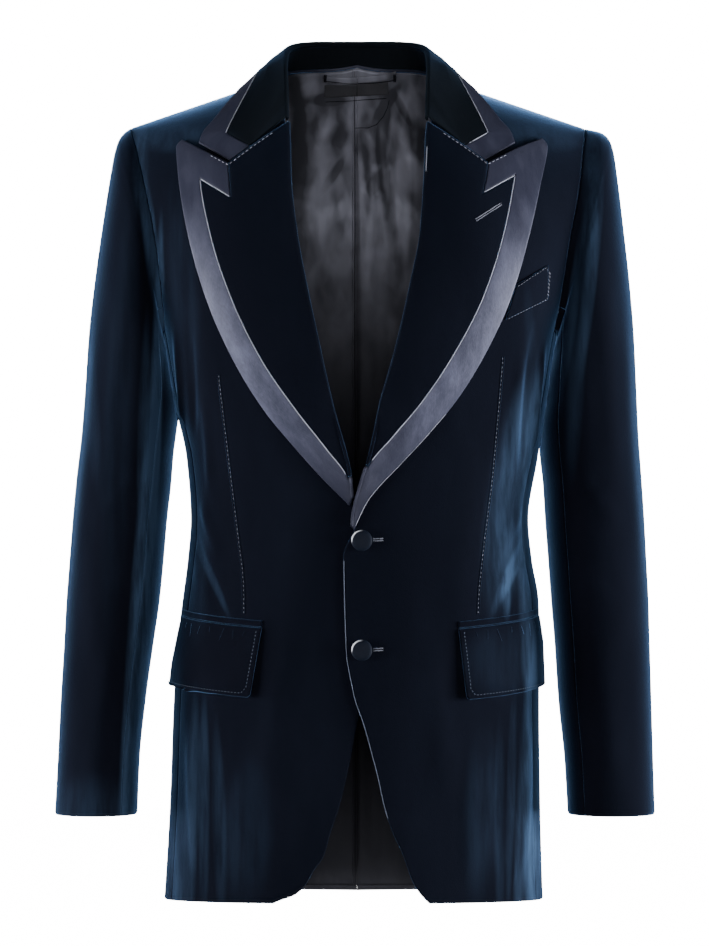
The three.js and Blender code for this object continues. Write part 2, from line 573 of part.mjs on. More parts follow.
function sleevePoint(side, index, angle) {
  const round = ((angle % 360) + 360) % 360;
  const at = sleeveEllipse(side, index, round);
  const own = sleeve.seam(index);
  if (own > 0) {
    const shift = armholePoint(side, round).sub(sleeveEllipse(side, 0, round));
    at.addScaledVector(shift, own);
    at.x += side * 0.8 * own;
  }
  const middle = sleeveEllipse(side, index, 0).add(sleeveEllipse(side, index, 180)).multiplyScalar(0.5);
  const inward = middle.sub(at).setZ(0).normalize();
  at.addScaledVector(inward, sleeveCrease(side, round, at.z) * (1 - own));
  const least = bodyReach(side, at.z, at.y) + SLEEVE_CLEARANCE;
  if (at.z < CHEST_Z) at.x = side * Math.max(side * at.x, least);
  return at;
}

function makeSleeve(side) {
  const last = SLEEVE.length - 1;
  const rows = [...steps(5, 0, 5), ...steps(16, 5, last).slice(1)].reverse();
  const { fore, hind } = SLEEVE_SEAMS;
  const gap = 0.2;
  const top = steps(12, hind - 360 + gap, fore - gap);
  const under = steps(5, fore + gap, hind - gap);
  const columns = [hind - 361, ...top, ...under, hind + 1];
  const grid = gridOf(rows, columns, -side, (angle, index) => sleevePoint(side, index, angle));
  const across = (i) => (side > 0 ? columns.length - 2 - i : i);
  const isTop = (i) => across(i) > 0 && across(i) < top.length;
  const isUnder = (i) => across(i) > top.length && across(i) < columns.length - 2;
  add("top_sleeve_" + sideName(side), clothGeometry(grid, CLOTH.sleeve, isTop), "velvet");
  add("under_sleeve_" + sideName(side), clothGeometry(grid, CLOTH.sleeve, isUnder), "velvet");
}

// The frame of a fold: along runs with it, fall is the way the leaf falls, out is roughly outside.
function rollFrame(along, fall, out) {
  const t = along.clone().normalize();
  const crest = fall.clone().addScaledVector(t, -fall.dot(t)).normalize().negate();
  const outside = crest.clone().cross(t);
  if (outside.dot(out) < 0) outside.negate();
  return { crest, outside };
}

// A point round a fold: angle -90 is under the leaf, 0 its crest, 90 the leaf's outside.
function rollPoint(fold, { crest, outside }, angle, radius = ROLL_RADIUS) {
  return fold
    .clone()
    .addScaledVector(crest, radius * (Math.cos(angle * RADIANS) - 1))
    .addScaledVector(outside, radius * Math.sin(angle * RADIANS));
}

// A lapel's row: the fold, the notch line, the band line and the edge, as seen from the front.
function lapelRow(side, v) {
  const line = lapelLines[sideName(side)];
  const rollZ = line.rollZ(v);
  return [
    [frontEdge[sideName(side)](rollZ), rollZ],
    [line.notchX(v), line.notchZ(v)],
    [line.bandX(v), line.bandZ(v)],
    [line.edgeX(v), line.edgeZ(v)],
  ];
}

// A lapel's outer face. u runs 0 to 3 over its four lines, and below 0 round the fold.
function lapelPoint(side, u, v) {
  const row = lapelRow(side, v);
  const k = Math.min(2, Math.floor(Math.max(u, 0)));
  const width = row[3][0] - row[0][0];
  const flat = (t) => {
    const [x, z] = [0, 1].map((c) => mix(row[k][c], row[k + 1][c], t));
    const across = clamp((x - row[0][0]) / width);
    const bow = LAPEL_BOW * Math.sin(Math.PI * across ** 0.8) * clamp(width / 110);
    return onFront(side, x, z, CLOTH.lapel + 1 + bow);
  };
  if (u > 0.02) return flat(u - k);
  const [x, z] = row[0];
  const next = lapelRow(side, Math.min(1, v + 0.01))[0];
  const last = lapelRow(side, Math.max(0, v - 0.01))[0];
  const lift = (CLOTH.lapel - CLOTH.body) / 2;
  const fold = onFront(side, x, z, lift);
  const along = onFront(side, next[0], next[1], lift).sub(onFront(side, last[0], last[1], lift));
  const fall = onFront(side, x + 12, z - 3, lift).sub(fold);
  const outward = onFront(side, x, z, 5).sub(fold);
  const radius = mix(ROLL_END_RADIUS, ROLL_RADIUS, ease(v / 0.12));
  return rollPoint(fold, rollFrame(along, fall, outward), mix(-90, 55, clamp(1 + u)), radius);
}

function makeLapel(side) {
  const name = sideName(side);
  const gap = (from, to, v) => {
    const row = lapelRow(side, v);
    return (1.6 * SEAM) / Math.max(1, Math.hypot(row[to][0] - row[from][0], row[to][1] - row[from][1]));
  };
  const wrapped = [0, 0.015, 0.03, 0.045, LAPEL_WRAP - 0.003];
  const low = [...wrapped, LAPEL_WRAP + 0.003, ...steps(10, 0, LAPEL_TURN - 0.002).slice(1)];
  const high = [LAPEL_TURN + 0.002, 0.95, 0.975, 0.99, 0.997];
  const fold = [-1, -0.72, -0.45, -0.2];
  const velvet = [0.12, 0.35, 0.68, 1];
  const middle = [1, 2];
  const satin = [2, 2.5, 3];
  const columns = [...fold, ...velvet, ...middle, ...satin];
  const joins = { first: fold.length + velvet.length - 1, second: fold.length + velvet.length + 1 };
  const grid = gridOf([...low, ...high], columns.map((_, i) => i), 1, (i, v) => {
    let u = columns[i];
    if (i === joins.first + 1) u += gap(1, 2, v);
    if (i === joins.second) u -= gap(1, 2, v);
    return lapelPoint(side, u, v);
  }).map((row) => (side < 0 ? row.reverse() : row));
  const across = (i) => (side < 0 ? columns.length - 2 - i : i);
  const turn = low.length - 1;
  const wrap = wrapped.length - 1;
  const isVelvet = (i, j) => {
    const column = across(i);
    return j > wrap && (column < joins.first || (column < joins.second && j < turn));
  };
  const isSatin = (i, j) => {
    const column = across(i);
    return j < wrap || column > joins.second || (column > joins.first && j > turn);
  };
  add("lapel_" + name, clothGeometry(grid, CLOTH.lapel, isVelvet), "velvet");
  add("lapel_band_" + name, clothGeometry(grid, CLOTH.lapel, isSatin), "satin");
}

// The collar's lines at s, from -1 at the right end over 0 at the centre back to 1 at the left.
function collarFold(s) {
  const at = Math.abs(s);
  const x = Math.sign(s) * collarLines.foldX(at);
  return new THREE.Vector3(x, collarLines.foldY(at), collarLines.foldZ(at));
}

function onShoulder(side, x, turn, lift) {
  const at = shoulderPoint(side, x, turn);
  const across = shoulderPoint(side, x + 1, turn).sub(shoulderPoint(side, Math.max(x - 1, 0), turn));
  const round = shoulderPoint(side, x, Math.min(turn + 1, 180)).sub(shoulderPoint(side, x, turn - 1));
  const out = across.cross(round).multiplyScalar(side).normalize();
  return at.addScaledVector(out, Math.sign(out.z || 1) * lift);
}

function collarFrame(s) {
  const side = Math.sign(s) || 1;
  const at = Math.abs(s);
  const fold = collarFold(s);
  const along = collarFold(clamp(s + 0.02, -1, 1)).sub(collarFold(clamp(s - 0.02, -1, 1)));
  const edge = onShoulder(side, collarLines.edgeX(at), collarLines.edgeTurn(at), CLOTH.collar + 1.1);
  const away = new THREE.Vector3(side * at ** 0.5, fold.y < 0 ? -1 : 1 - at, 0.3);
  return { fold, edge, frame: rollFrame(along, edge.clone().sub(fold), away) };
}

// The collar leaf's outer face. u: below 0 round the fold, 0 to 1 to the end seam's line, 1 to 2 to
// the satin band's line, 2 to 3 to the outer edge.
function collarPoint(s, u) {
  const side = Math.sign(s) || 1;
  const at = Math.abs(s);
  const lift = CLOTH.collar + 1.1;
  const { fold, edge, frame } = collarFrame(s);
  if (u <= 0) return rollPoint(fold, frame, mix(-80, 75, clamp(1 + u)));
  const start = rollPoint(fold, frame, 75);
  const fallen = start.distanceTo(edge);
  const hung = 1 - ease((at - 0.62) / 0.28);
  const cut = ease((at - GORGE.from) / (1 - GORGE.from));
  const bandX = mix(COLLAR_BAND.cornerX, COLLAR_BAND.notchX, cut);
  const bandTurn = mix(COLLAR_BAND.cornerTurn, COLLAR_BAND.notchTurn, cut);
  const laid = onShoulder(side, bandX, bandTurn, lift + 1.5 * (1 - cut));
  const band = start.clone().lerp(edge, 1 - COLLAR_BAND.width / fallen);
  band.addScaledVector(frame.outside, 2.5).lerp(laid, 1 - hung);
  const gorge = start.clone().lerp(band, 0.55).addScaledVector(frame.outside, 1.5 * hung);
  gorge.lerp(onShoulder(side, GORGE.x, GORGE.turn, lift + 2), 1 - hung);
  if (u <= 1) return start.lerp(gorge, u);
  if (u <= 2) return gorge.lerp(band, u - 1);
  return band.lerp(edge, u - 2);
}

function makeCollar() {
  const end = 0.993;
  const turn = GORGE.from;
  const half = [...steps(9, 0, turn - 0.004), turn + 0.004, mix(turn, end, 0.5), end];
  const rows = [...half, ...half.slice(1).map((s) => -s).reverse()];
  rows.sort((a, b) => b - a);
  const columns = [-1, -0.66, -0.33, 0, 0.5, 1, 1, 2, 2, 2.5, 3];
  const joins = { first: 5, second: 7 };
  const seam = 0.045;
  const grid = rows.map((s) =>
    columns.map((u, i) => collarPoint(s, u + seam * ((i === joins.first + 1) - (i === joins.second)))),
  );
  const last = rows.length - 2;
  const isEnd = (j) => Math.min(j, last - j) < 2;
  const isJoin = (j) => Math.min(j, last - j) === 2;
  const isVelvet = (i, j) => i < joins.first || (i < joins.second && !isEnd(j) && !isJoin(j));
  const isSatin = (i, j) => i > joins.second || (i > joins.first && isEnd(j));
  add("collar_leaf", clothGeometry(grid, CLOTH.collar, isVelvet), "velvet");
  add("collar_band", clothGeometry(grid, CLOTH.collar, isSatin), "satin");
}

// The neck seam, from the centre back round to the lapel.
function neckPoint(s) {
  const side = Math.sign(s) || 1;
  const at = Math.abs(s);
  if (at <= 0.5) {
    const x = NECK.halfWidth * Math.sin(at * Math.PI);
    return shoulderPoint(side, x, 180 - neckTurn(x));
  }
  const share = (at - 0.5) / 0.5;
  const z = mix(shoulderZ(NECK.halfWidth), -34, share ** 1.4);
  const x = mix(NECK.halfWidth, frontEdge[sideName(side)](z) + 4, ease(share * 1.6));
  return frontPoint(side, x, z);
}

const STAND_END = 0.8;
const STAND_RISE = 2.8; // of its foot over the neck seam, less near its ends

// The collar stand's face on the side of the neck, from the neck seam up to the fold.
function makeStand() {
  const place = (s, u) => {
    const { fold, frame } = collarFrame(s);
    const raised = mix(STAND_RISE, STAND_RISE / 2, ease((Math.abs(s) - 0.5) / 0.3));
    const foot = neckPoint(s).addScaledVector(frame.crest, raised).addScaledVector(frame.outside, -CLOTH.stand);
    const top = rollPoint(fold, frame, -90).addScaledVector(frame.crest, -1.4);
    return foot.lerp(top, u);
  };
  const grid = gridOf(steps(3), steps(20, -STAND_END, STAND_END), 1, place);
  add("collar_stand", clothGeometry(grid, CLOTH.stand), "velvet");
}

// Flaps, jets and the breast welt, drawn between four corners on the front.
function panelOnFront(side, columns, rows, corners, thickness, lift) {
  const grid = gridOf(steps(rows), steps(columns), side, (u, v) => {
    const z = mix(mix(corners.low, corners.lowOuter, u), mix(corners.top, corners.topOuter, u), v);
    const shift = corners.drift * (1 - v);
    const from = angleAt(side, z, corners.inner + shift);
    const to = angleAt(side, z, Math.min(corners.outer + shift, 0.993 * body[sideName(side)](z)));
    const x = Math.abs(bodyPoint(side, z, mix(from, to, u)).x);
    return onFront(side, x, z, lift(u, v));
  });
  return clothGeometry(grid, thickness);
}

function makePockets(side) {
  const name = sideName(side);
  const flap = FLAPS[name];
  const swing = (u, v) => CLOTH.flap + 0.5 + FLAP_SWING * (1 - v) ** 0.8;
  add("pocket_flap_" + name, panelOnFront(side, 8, 3, flap, CLOTH.flap, swing), "velvet");
  const jet = { ...flap, drift: 0, low: flap.top + 0.8, lowOuter: flap.topOuter + 0.8 };
  jet.top = jet.low + JET.height;
  jet.topOuter = jet.lowOuter + JET.height;
  add("pocket_jet_" + name, panelOnFront(side, 8, 1, jet, JET.thickness, () => JET.thickness + 0.4), "velvet");
}

function makeWelt() {
  const grid = steps(2).map((v) =>
    steps(5).map((u) => {
      const x = mix(mix(WELT.innerLow, WELT.innerTop, v), WELT.outer, u);
      const z = mix(mix(...WELT.lowZ, u), mix(...WELT.topZ, u), v);
      return onFront(1, x, z, WELT.thickness + 0.4);
    }),
  );
  add("breast_welt", clothGeometry(grid, WELT.thickness), "velvet");
}

// A covered button: a domed disc on the left front.
function makeButton(name, z) {
  const { radius, thickness } = BUTTON;
  const profile = [
    [0, 0],
    [radius * 0.8, 0],
    [radius, thickness * 0.35],
    [radius * 0.97, thickness * 0.6],
    [radius * 0.8, thickness * 0.84],
    [radius * 0.45, thickness * 0.96],
    [0, thickness],
  ].map(([r, h]) => new THREE.Vector2(r, h));
  const geometry = new THREE.LatheGeometry(profile, 24);
  const at = onFront(1, BUTTON.x, z, 0);
  const out = onFront(1, BUTTON.x, z, 1).sub(at);
  geometry.applyQuaternion(new THREE.Quaternion().setFromUnitVectors(new THREE.Vector3(0, 1, 0), out));
  geometry.translate(...at.addScaledVector(out, 0.6).toArray());
  add(name, geometry, "button");
}

// The lining hangs inside the back and is made from its points, moved in.
const LINING = { inset: 2.8, lowestRow: 1, topRows: [1, 2, 3, 4, 5, 6, 7] };

function makeLining(side) {
  const upper = LINING.topRows.map((row) => CHEST_ROW + row);
  const rows = [...steps(CHEST_ROW - LINING.lowestRow, LINING.lowestRow, CHEST_ROW), ...upper];
  const columns = BACK_COLUMNS.slice(0, -1);
  const grid = gridOf(rows, bordered(columns), -side, (u, row) => backPoint(side, u, row));
  const normals = gridNormals(grid);
  grid.forEach((row, j) => row.forEach((at, i) => at.addScaledVector(normals[j][i], -LINING.inset)));
  const geometry = clothGeometry(grid, CLOTH.lining, (i) => i > 0 && i < columns.length);
  add("lining_back_" + sideName(side), geometry, "lining");
}

// A point inside the upper back at x and z, moved in from the cloth.
function insideBack(x, z, inset) {
  const side = Math.sign(x) || 1;
  const out = Math.abs(x);
  const turn = 180 - Math.asin(clamp((z - CHEST_Z) / (ridgeZ(out, true) - CHEST_Z))) / RADIANS;
  return onShoulder(side, out, turn, -inset);
}

// The loop hangs across the back neck, and the label lies under it.
function tape(name, span, top, height, inset, thickness, cloth) {
  const grid = gridOf(steps(1), steps(12, -1, 1), 1, (u, v) =>
    insideBack(span.x + u * span.halfWidth, top(u) - height * (1 - v), inset(u)),
  );
  add(name, clothGeometry(grid, thickness), cloth);
}

for (const side of [-1, 1]) {
  makeFront(side);
  makeSidePanel(side);
  makeBack(side);
  makeSleeve(side);
  makeLapel(side);
  makePockets(side);
  makeLining(side);
}
makeCollar();
makeStand();
makeWelt();
makeButton("button_top", BUTTON.z[0]);
makeButton("button_bottom", BUTTON.z[1]);
const neckZ = shoulderPoint(1, 0, 180 - neckTurn(0)).z;
const lined = LINING.inset + CLOTH.lining;
const loopTop = (u) => neckZ - 4 + LOOP.tilt * u - 2 * (1 - u ** 2);
const loopInset = (u) => lined + LOOP.thickness + 2.4 + 2 * (1 - u ** 2);
tape("hanging_loop", LOOP, loopTop, LOOP.width, loopInset, LOOP.thickness, "lining");
const labelTop = (u) => neckZ - 14 + 1.5 * u;
const labelInset = () => lined + LABEL.thickness + 1.7;
tape("label_patch", LABEL, labelTop, LABEL.height, labelInset, LABEL.thickness, "label");

export default jacket;
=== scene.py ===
# %% [markdown]
# # A velvet dinner jacket
#
# A single-breasted dinner jacket of dark blue velvet. Its peak lapels and its collar are edged with
# a wide satin band. It stands as if worn, with nobody in it, so its neck, cuffs, vents and hem are
# open and its lining shows.
#
# Every piece starts from the form that the CAD part gives it. Here the same form is measured far
# more closely, so that the cloth can have folds, rolled edges, seams and stitches, and each piece
# stands for the CAD solid of its name. Lengths are in millimetres until a mesh is made.

import json

import bpy
import numpy as np
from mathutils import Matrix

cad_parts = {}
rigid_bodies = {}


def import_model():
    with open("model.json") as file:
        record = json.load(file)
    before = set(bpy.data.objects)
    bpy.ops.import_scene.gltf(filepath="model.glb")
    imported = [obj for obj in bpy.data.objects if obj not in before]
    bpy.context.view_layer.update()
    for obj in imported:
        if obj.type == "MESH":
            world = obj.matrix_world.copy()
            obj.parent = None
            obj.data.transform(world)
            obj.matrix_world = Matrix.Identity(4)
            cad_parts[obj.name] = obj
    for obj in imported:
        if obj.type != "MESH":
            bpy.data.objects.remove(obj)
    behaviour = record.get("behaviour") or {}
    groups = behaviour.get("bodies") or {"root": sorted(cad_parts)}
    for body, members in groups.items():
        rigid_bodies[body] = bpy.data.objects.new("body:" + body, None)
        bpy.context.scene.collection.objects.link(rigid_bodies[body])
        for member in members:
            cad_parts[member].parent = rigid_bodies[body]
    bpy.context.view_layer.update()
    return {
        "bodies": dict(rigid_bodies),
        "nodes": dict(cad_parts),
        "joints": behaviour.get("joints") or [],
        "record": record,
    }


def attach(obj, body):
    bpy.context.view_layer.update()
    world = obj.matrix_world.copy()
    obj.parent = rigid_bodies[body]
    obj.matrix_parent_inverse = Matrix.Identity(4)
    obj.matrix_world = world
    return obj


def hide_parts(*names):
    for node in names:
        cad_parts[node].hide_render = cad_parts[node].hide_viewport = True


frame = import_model()
print("CAD nodes:", len(frame["nodes"]))

# %% [markdown]
# # The body's form
#
# A tailor fits a jacket from a few measures: how wide and deep the body is at the chest, waist and
# seat, and how the shoulders slope. The tables below hold those measures at each level. Smooth
# curves run through them, so a piece can be as fine as it needs to be.

# %% Curves through tables
def table(names, text):
    rows = np.array([[float(word) for word in line.split()] for line in text.strip().splitlines()])
    return dict(zip(names.split(), rows.T))


def mix(a, b, t):
    return a + (b - a) * t


def clamp(t, low=0.0, high=1.0):
    return np.clip(t, low, high)


def ease(t):
    return clamp(t) ** 2 * (3 - 2 * clamp(t))


def signed_power(a, p):
    return np.sign(a) * np.abs(a) ** p


def point(x, y, z):
    return np.stack(np.broadcast_arrays(x, y, z), axis=-1).astype(float)


def length(v):
    return np.sqrt((v**2).sum(-1))


def unit(v):
    return v / np.maximum(length(v), 1e-9)[..., None]


def curve(rows, key, column):
    """A smooth curve through one column of a table. It never swings past the table's own values."""
    x, y = rows[key], rows[column]
    slope = np.diff(y) / np.diff(x)
    before, after = np.r_[slope[:1], slope], np.r_[slope, slope[-1:]]
    same = before * after > 0
    tangent = np.where(same, 2 * before * after / np.where(same, before + after, 1), 0)

    def at(value):
        i = np.clip(np.searchsorted(x, value) - 1, 0, len(x) - 2)
        width = x[i + 1] - x[i]
        t = clamp((value - x[i]) / width)
        rest = 1 - t
        start = y[i] * (1 + 2 * t) * rest**2 + tangent[i] * width * t * rest**2
        return start + y[i + 1] * t**2 * (3 - 2 * t) - tangent[i + 1] * width * t**2 * rest

    return at


def curves(rows, key):
    return {column: curve(rows, key, column) for column in rows if column != key}


# %% Measures of the jacket
BODY = table("z right left front back power", """
    -790  187  180.5  126  131  2.4
    -768  185.5  179.5  125  130  2.4
    -690  181  177.5  124  127  2.4
    -593  177.5  176.5  122  121  2.4
    -530  173  177  119  114  2.4
    -496  169  176  117  109  2.4
    -457  164  169.5  115  104  2.4
    -418  161  166  114  100  2.4
    -360  165  175  118  103  2.4
    -300  178  184  123  111  2.5
    -235  189  194  125  118  2.6
    -210  195  204  125  118  2.6
    -185  202  212  125  118  2.6
    -147  211  222  125  118  2.6
    -105  221  232  125  118  2.6
    -38  231  236  125  118  2.6
""")
ARMHOLE = table("z right left", """
    -235  185  190
    -210  187  195
    -185  189.5  199
    -147  194.7  205
    -105  203  213
    -70  211  217
    -38  219  221
""")
RIGHT_EDGE = table("z x", """
    -790  92
    -780  78
    -772  58
    -763  49
    -749  41
    -736  32
    -714  25.5
    -692  18
    -669  12
    -643  6.5
    -616  1.5
    -587  -6
    -549  -16
    -500  -22
    -437  -22
    -420  -14
    -408  -3
    -394  3
    -375  5
    -356  9
    -309  22
    -247  36
    -190  48
    -147  56
    -94  62
    -37  64
    8  72
""")
LEFT_EDGE = table("z x", """
    -790  84
    -780  68
    -766  56
    -757  51.5
    -736  44
    -714  34
    -691  26
    -660  19
    -637  13
    -613  6.5
    -587  -2.5
    -566  -7
    -549  -10
    -520  -11.5
    -476  -12.7
    -455  -13
    -444  -13.6
    -433  -10.9
    -424  -6.6
    -412  -5.4
    -400  -3
    -389  0
    -371  5.4
    -362  9
    -307  21
    -254  36
    -188  51
    -147  59
    -94  63
    -37  66
    8  73
""")
RIGHT_LAPEL = table("v rollZ notchX notchZ bandX bandZ edgeX edgeZ", """
    0  -396  4  -397  4.8  -398  7  -404
    0.06  -376  7  -377  9  -378  32  -379
    0.15  -345  21  -349  28  -351  57  -351
    0.3  -295  45  -308  58  -312  88  -313
    0.45  -240  70  -262  88  -268  114  -271
    0.6  -185  91  -205  117  -209  140  -214
    0.76  -122  107  -145  138  -146  159  -151
    0.9  -72  118  -113  148  -94  169  -98
    0.97  -47  120  -90  149  -73  172.5  -62
    1  -37  121  -79  150  -63  166  -53.5
""")
LEFT_LAPEL = table("v rollZ notchX notchZ bandX bandZ edgeX edgeZ", """
    0  -424  -4.8  -424.6  -4  -425  -3.1  -427
    0.03  -396  -0.2  -396.6  0.8  -397  11  -398
    0.06  -366  9.2  -366.6  10.4  -367  40  -366
    0.15  -336  26  -338  33  -339  64  -340
    0.3  -290  47  -300  64  -301  96  -301
    0.45  -238  70  -254  93  -256  122  -258
    0.6  -185  91  -203  119  -204  146  -205
    0.76  -122  108  -143  138  -145  163  -148
    0.9  -74  118  -109  149  -91  175  -96
    0.97  -48  122  -89  152  -72  182  -61
    1  -37  123  -79  153  -63  176  -52
""")
COLLAR = table("s foldX foldY foldZ edgeX edgeTurn", """
    0  0  66  51  0  130
    0.17  34  65  51  41  124.5
    0.33  56  47  48  77  107
    0.5  66  12  38  106  94
    0.67  67  -20  22  118  77
    0.83  66  -47  -2  135  64
    0.93  65.5  -63  -21  147  58
    1  65  -77  -35  151  53.2
""")
SLEEVE = table("outR outL outZ inR inL inZ y depth seam", """
    219.4  221.4  -38.7  188.8  193.8  -243  0  59  1
    225  237  -42.5  190.2  195.2  -246  0  61  0.8
    231  245  -50  188  193  -250  0  63  0.6
    235  249  -62  184  189.5  -255  1  66  0.4
    240  253  -90  180.5  186.5  -262  1  69  0.2
    246.5  258  -132  177.5  184  -272  2  72  0
    254  264  -185  174.5  181  -288  3  74  0
    260  268.5  -238  172  178.5  -308  4  74  0
    263.5  271  -290  174.6  176  -330  4  73.5  0
    267  273  -335  178  177.4  -356  4  73  0
    272  276  -378  180.2  180.4  -384  3  72  0
    275.5  278.5  -417  184  182.4  -418  1  71  0
    278.4  280.4  -457  187.2  185.2  -457  -3  69  0
    281.2  282.2  -497  191  188  -497  -8  66  0
    283  283  -536  196.5  191  -536  -13  63  0
    286  284.3  -592  204  194.5  -592  -20  59  0
    288.4  285.5  -648  209.5  200  -648  -27  55  0
    291  287  -701  211.5  203  -701  -32  52  0
""")

CHEST_Z = -235
ARM_TOP_Z = -38.5
HEM_Z = -785
HEM_SHIFT = dict(front=4.5, back=-3)
SHOULDER = dict(x=108, z=-1, slope=0.34)
NECK = dict(half_width=78, depth=66, rise=44)
CLOTH = dict(body=2, sleeve=2, lapel=2.2, collar=2.2, stand=2, flap=2.4, lining=1.2)
SEAM = 0.3
LAP = 2.6
ROLL_RADIUS, ROLL_END_RADIUS = 3.6, 2.4
LAPEL_WRAP = 0.06
LAPEL_FOOT = dict(right=-426, left=-455)
SLEEVE_CLEARANCE = 1.0
LAPEL_BOW = 5
VENT = dict(top=-580, inset=2.9, underlap=11, column=0.88)
RIDGE_TURN = 89.8
LAPEL_TURN = 0.9
SLEEVE_SEAMS = dict(fore=131, hind=240)
GORGE = dict(x=102, turn=46.8, first=0.93)
COLLAR_BAND = dict(width=24, corner_x=124, corner_turn=54, notch_x=121, notch_turn=43.6)
STAND_END = 0.8

BODY_AT = curves(BODY, "z")
ARMHOLE_AT = curves(ARMHOLE, "z")
EDGE_AT = dict(right=curve(RIGHT_EDGE, "z", "x"), left=curve(LEFT_EDGE, "z", "x"))
LAPEL_AT = dict(right=curves(RIGHT_LAPEL, "v"), left=curves(LEFT_LAPEL, "v"))
COLLAR_AT = curves(COLLAR, "s")
SLEEVE["index"] = np.arange(len(SLEEVE["y"]))
SLEEVE_AT = curves(SLEEVE, "index")
print("chest", round(2 * float(BODY_AT["left"](CHEST_Z))), "mm wide")


# %% Points on the body and on the shoulders
def side_name(side):
    return "right" if side < 0 else "left"


def shoulder_z(x):
    return SHOULDER["z"] - SHOULDER["slope"] * (x - SHOULDER["x"])


def ridge_z(x, back):
    rise = NECK["rise"] * clamp(1 - (x / NECK["half_width"]) ** 2) ** 0.8
    return shoulder_z(x) + np.where(back, rise, 0)


def body_point(side, z, angle):
    """Below the chest: angle 0 at the centre front, 90 at the side, 180 at the centre back."""
    half, power = BODY_AT[side_name(side)](z), BODY_AT["power"](z)
    depth = np.where(angle < 90, BODY_AT["front"](z), BODY_AT["back"](z))
    turn = np.radians(angle)
    x = side * half * signed_power(np.sin(turn), 2 / power)
    return point(x, -depth * signed_power(np.cos(turn), 2 / power), z)


def angle_at(side, z, x):
    share = clamp(x / BODY_AT[side_name(side)](z), -1, 1)
    return np.degrees(np.arcsin(signed_power(share, BODY_AT["power"](z) / 2)))


def shoulder_point(side, x, turn):
    """Above the chest: turn 0 at the chest front, 90 on the shoulder line, 180 at the back."""
    back = turn > 90
    sine = np.sin(np.radians(turn))
    level = mix(CHEST_Z, ARM_TOP_Z, sine)
    share = clamp(np.abs(x) / BODY_AT[side_name(side)](level))
    depth = np.where(back, BODY_AT["back"](CHEST_Z), BODY_AT["front"](CHEST_Z))
    y = -depth * (1 - share**2.6) ** (1 / 2.6) * np.cos(np.radians(turn))
    return point(side * x, y, mix(CHEST_Z, ridge_z(np.abs(x), back), sine))


def turn_at(x, z):
    share = clamp((z - CHEST_Z) / (shoulder_z(np.abs(x)) - CHEST_Z))
    return np.degrees(np.arcsin(share))


def front_point(side, x, z):
    low = body_point(side, np.minimum(z, CHEST_Z), angle_at(side, np.minimum(z, CHEST_Z), x))
    high = shoulder_point(side, x, turn_at(x, z))
    return np.where((z <= CHEST_Z)[..., None], low, high)


def on_front(side, x, z, lift):
    """A point on a front as seen from the front, moved out by lift. The left front laps over."""
    x, z = np.broadcast_arrays(np.asarray(x, float), np.asarray(z, float))
    step = 0.5
    at = front_point(side, x, z)
    across = front_point(side, x + step, z) - front_point(side, x - step, z)
    up = front_point(side, x, z + step) - front_point(side, x, z - step)
    out = unit(np.cross(up, across))
    out = np.where(out[..., 1:2] > 0, -out, out)
    lap = LAP * ease((85 - x) / 50) * ease((-372 - z) / 26) if side > 0 else 0
    return at + out * np.broadcast_to(np.asarray(lift + lap, float), x.shape)[..., None]


# %% [markdown]
# # Cloth as a thin wall
#
# A piece of cloth is made as a grid of points on its outer face. The grid is doubled inwards by the
# cloth's thickness and closed with a rim. Where a piece is joined to the next one or turned in, its
# edge dips: a seam and a hem are soft rounded edges on the real jacket, and light catches them.

# %% Grids and cloth walls
def grid_normals(grid):
    across = np.gradient(grid, axis=1)
    up = np.gradient(grid, axis=0)
    return unit(np.cross(across, up))


def spread(count, low=0.0, high=1.0, ends=0.0):
    """Steps from low to high, closer together at both ends when ends is over 0."""
    t = np.linspace(0, 1, count + 1)
    return mix(low, high, t - ends * np.sin(2 * np.pi * t) / (2 * np.pi))


def arc(grid, axis):
    """Distance along each row or column of a grid, from its start."""
    steps = length(np.diff(grid, axis=axis))
    pad = np.zeros_like(np.take(steps, [0], axis=axis))
    return np.concatenate([pad, np.cumsum(steps, axis=axis)], axis=axis)


def border_distance(grid, keep, free=None):
    """How far each kept point lies from the nearest edge of the cloth."""
    rows, columns = grid.shape[:2]
    cells = np.zeros((rows + 1, columns + 1), bool)
    cells[1:-1, 1:-1] = keep
    around = cells[:-1, :-1].astype(int) + cells[:-1, 1:] + cells[1:, :-1] + cells[1:, 1:]
    border = (around > 0) & (around < 4)
    if free is not None:
        border &= ~free
    ends = grid[border]
    flat = grid.reshape(-1, 3)
    nearest = np.full(len(flat), 1e3)
    for start in range(0, len(flat), 4000):
        part = flat[start : start + 4000]
        gaps = ((part[:, None, :] - ends[None]) ** 2).sum(-1) if len(ends) else np.full((len(part), 1), 1e6)
        nearest[start : start + 4000] = np.sqrt(gaps.min(1))
    return nearest.reshape(rows, columns)


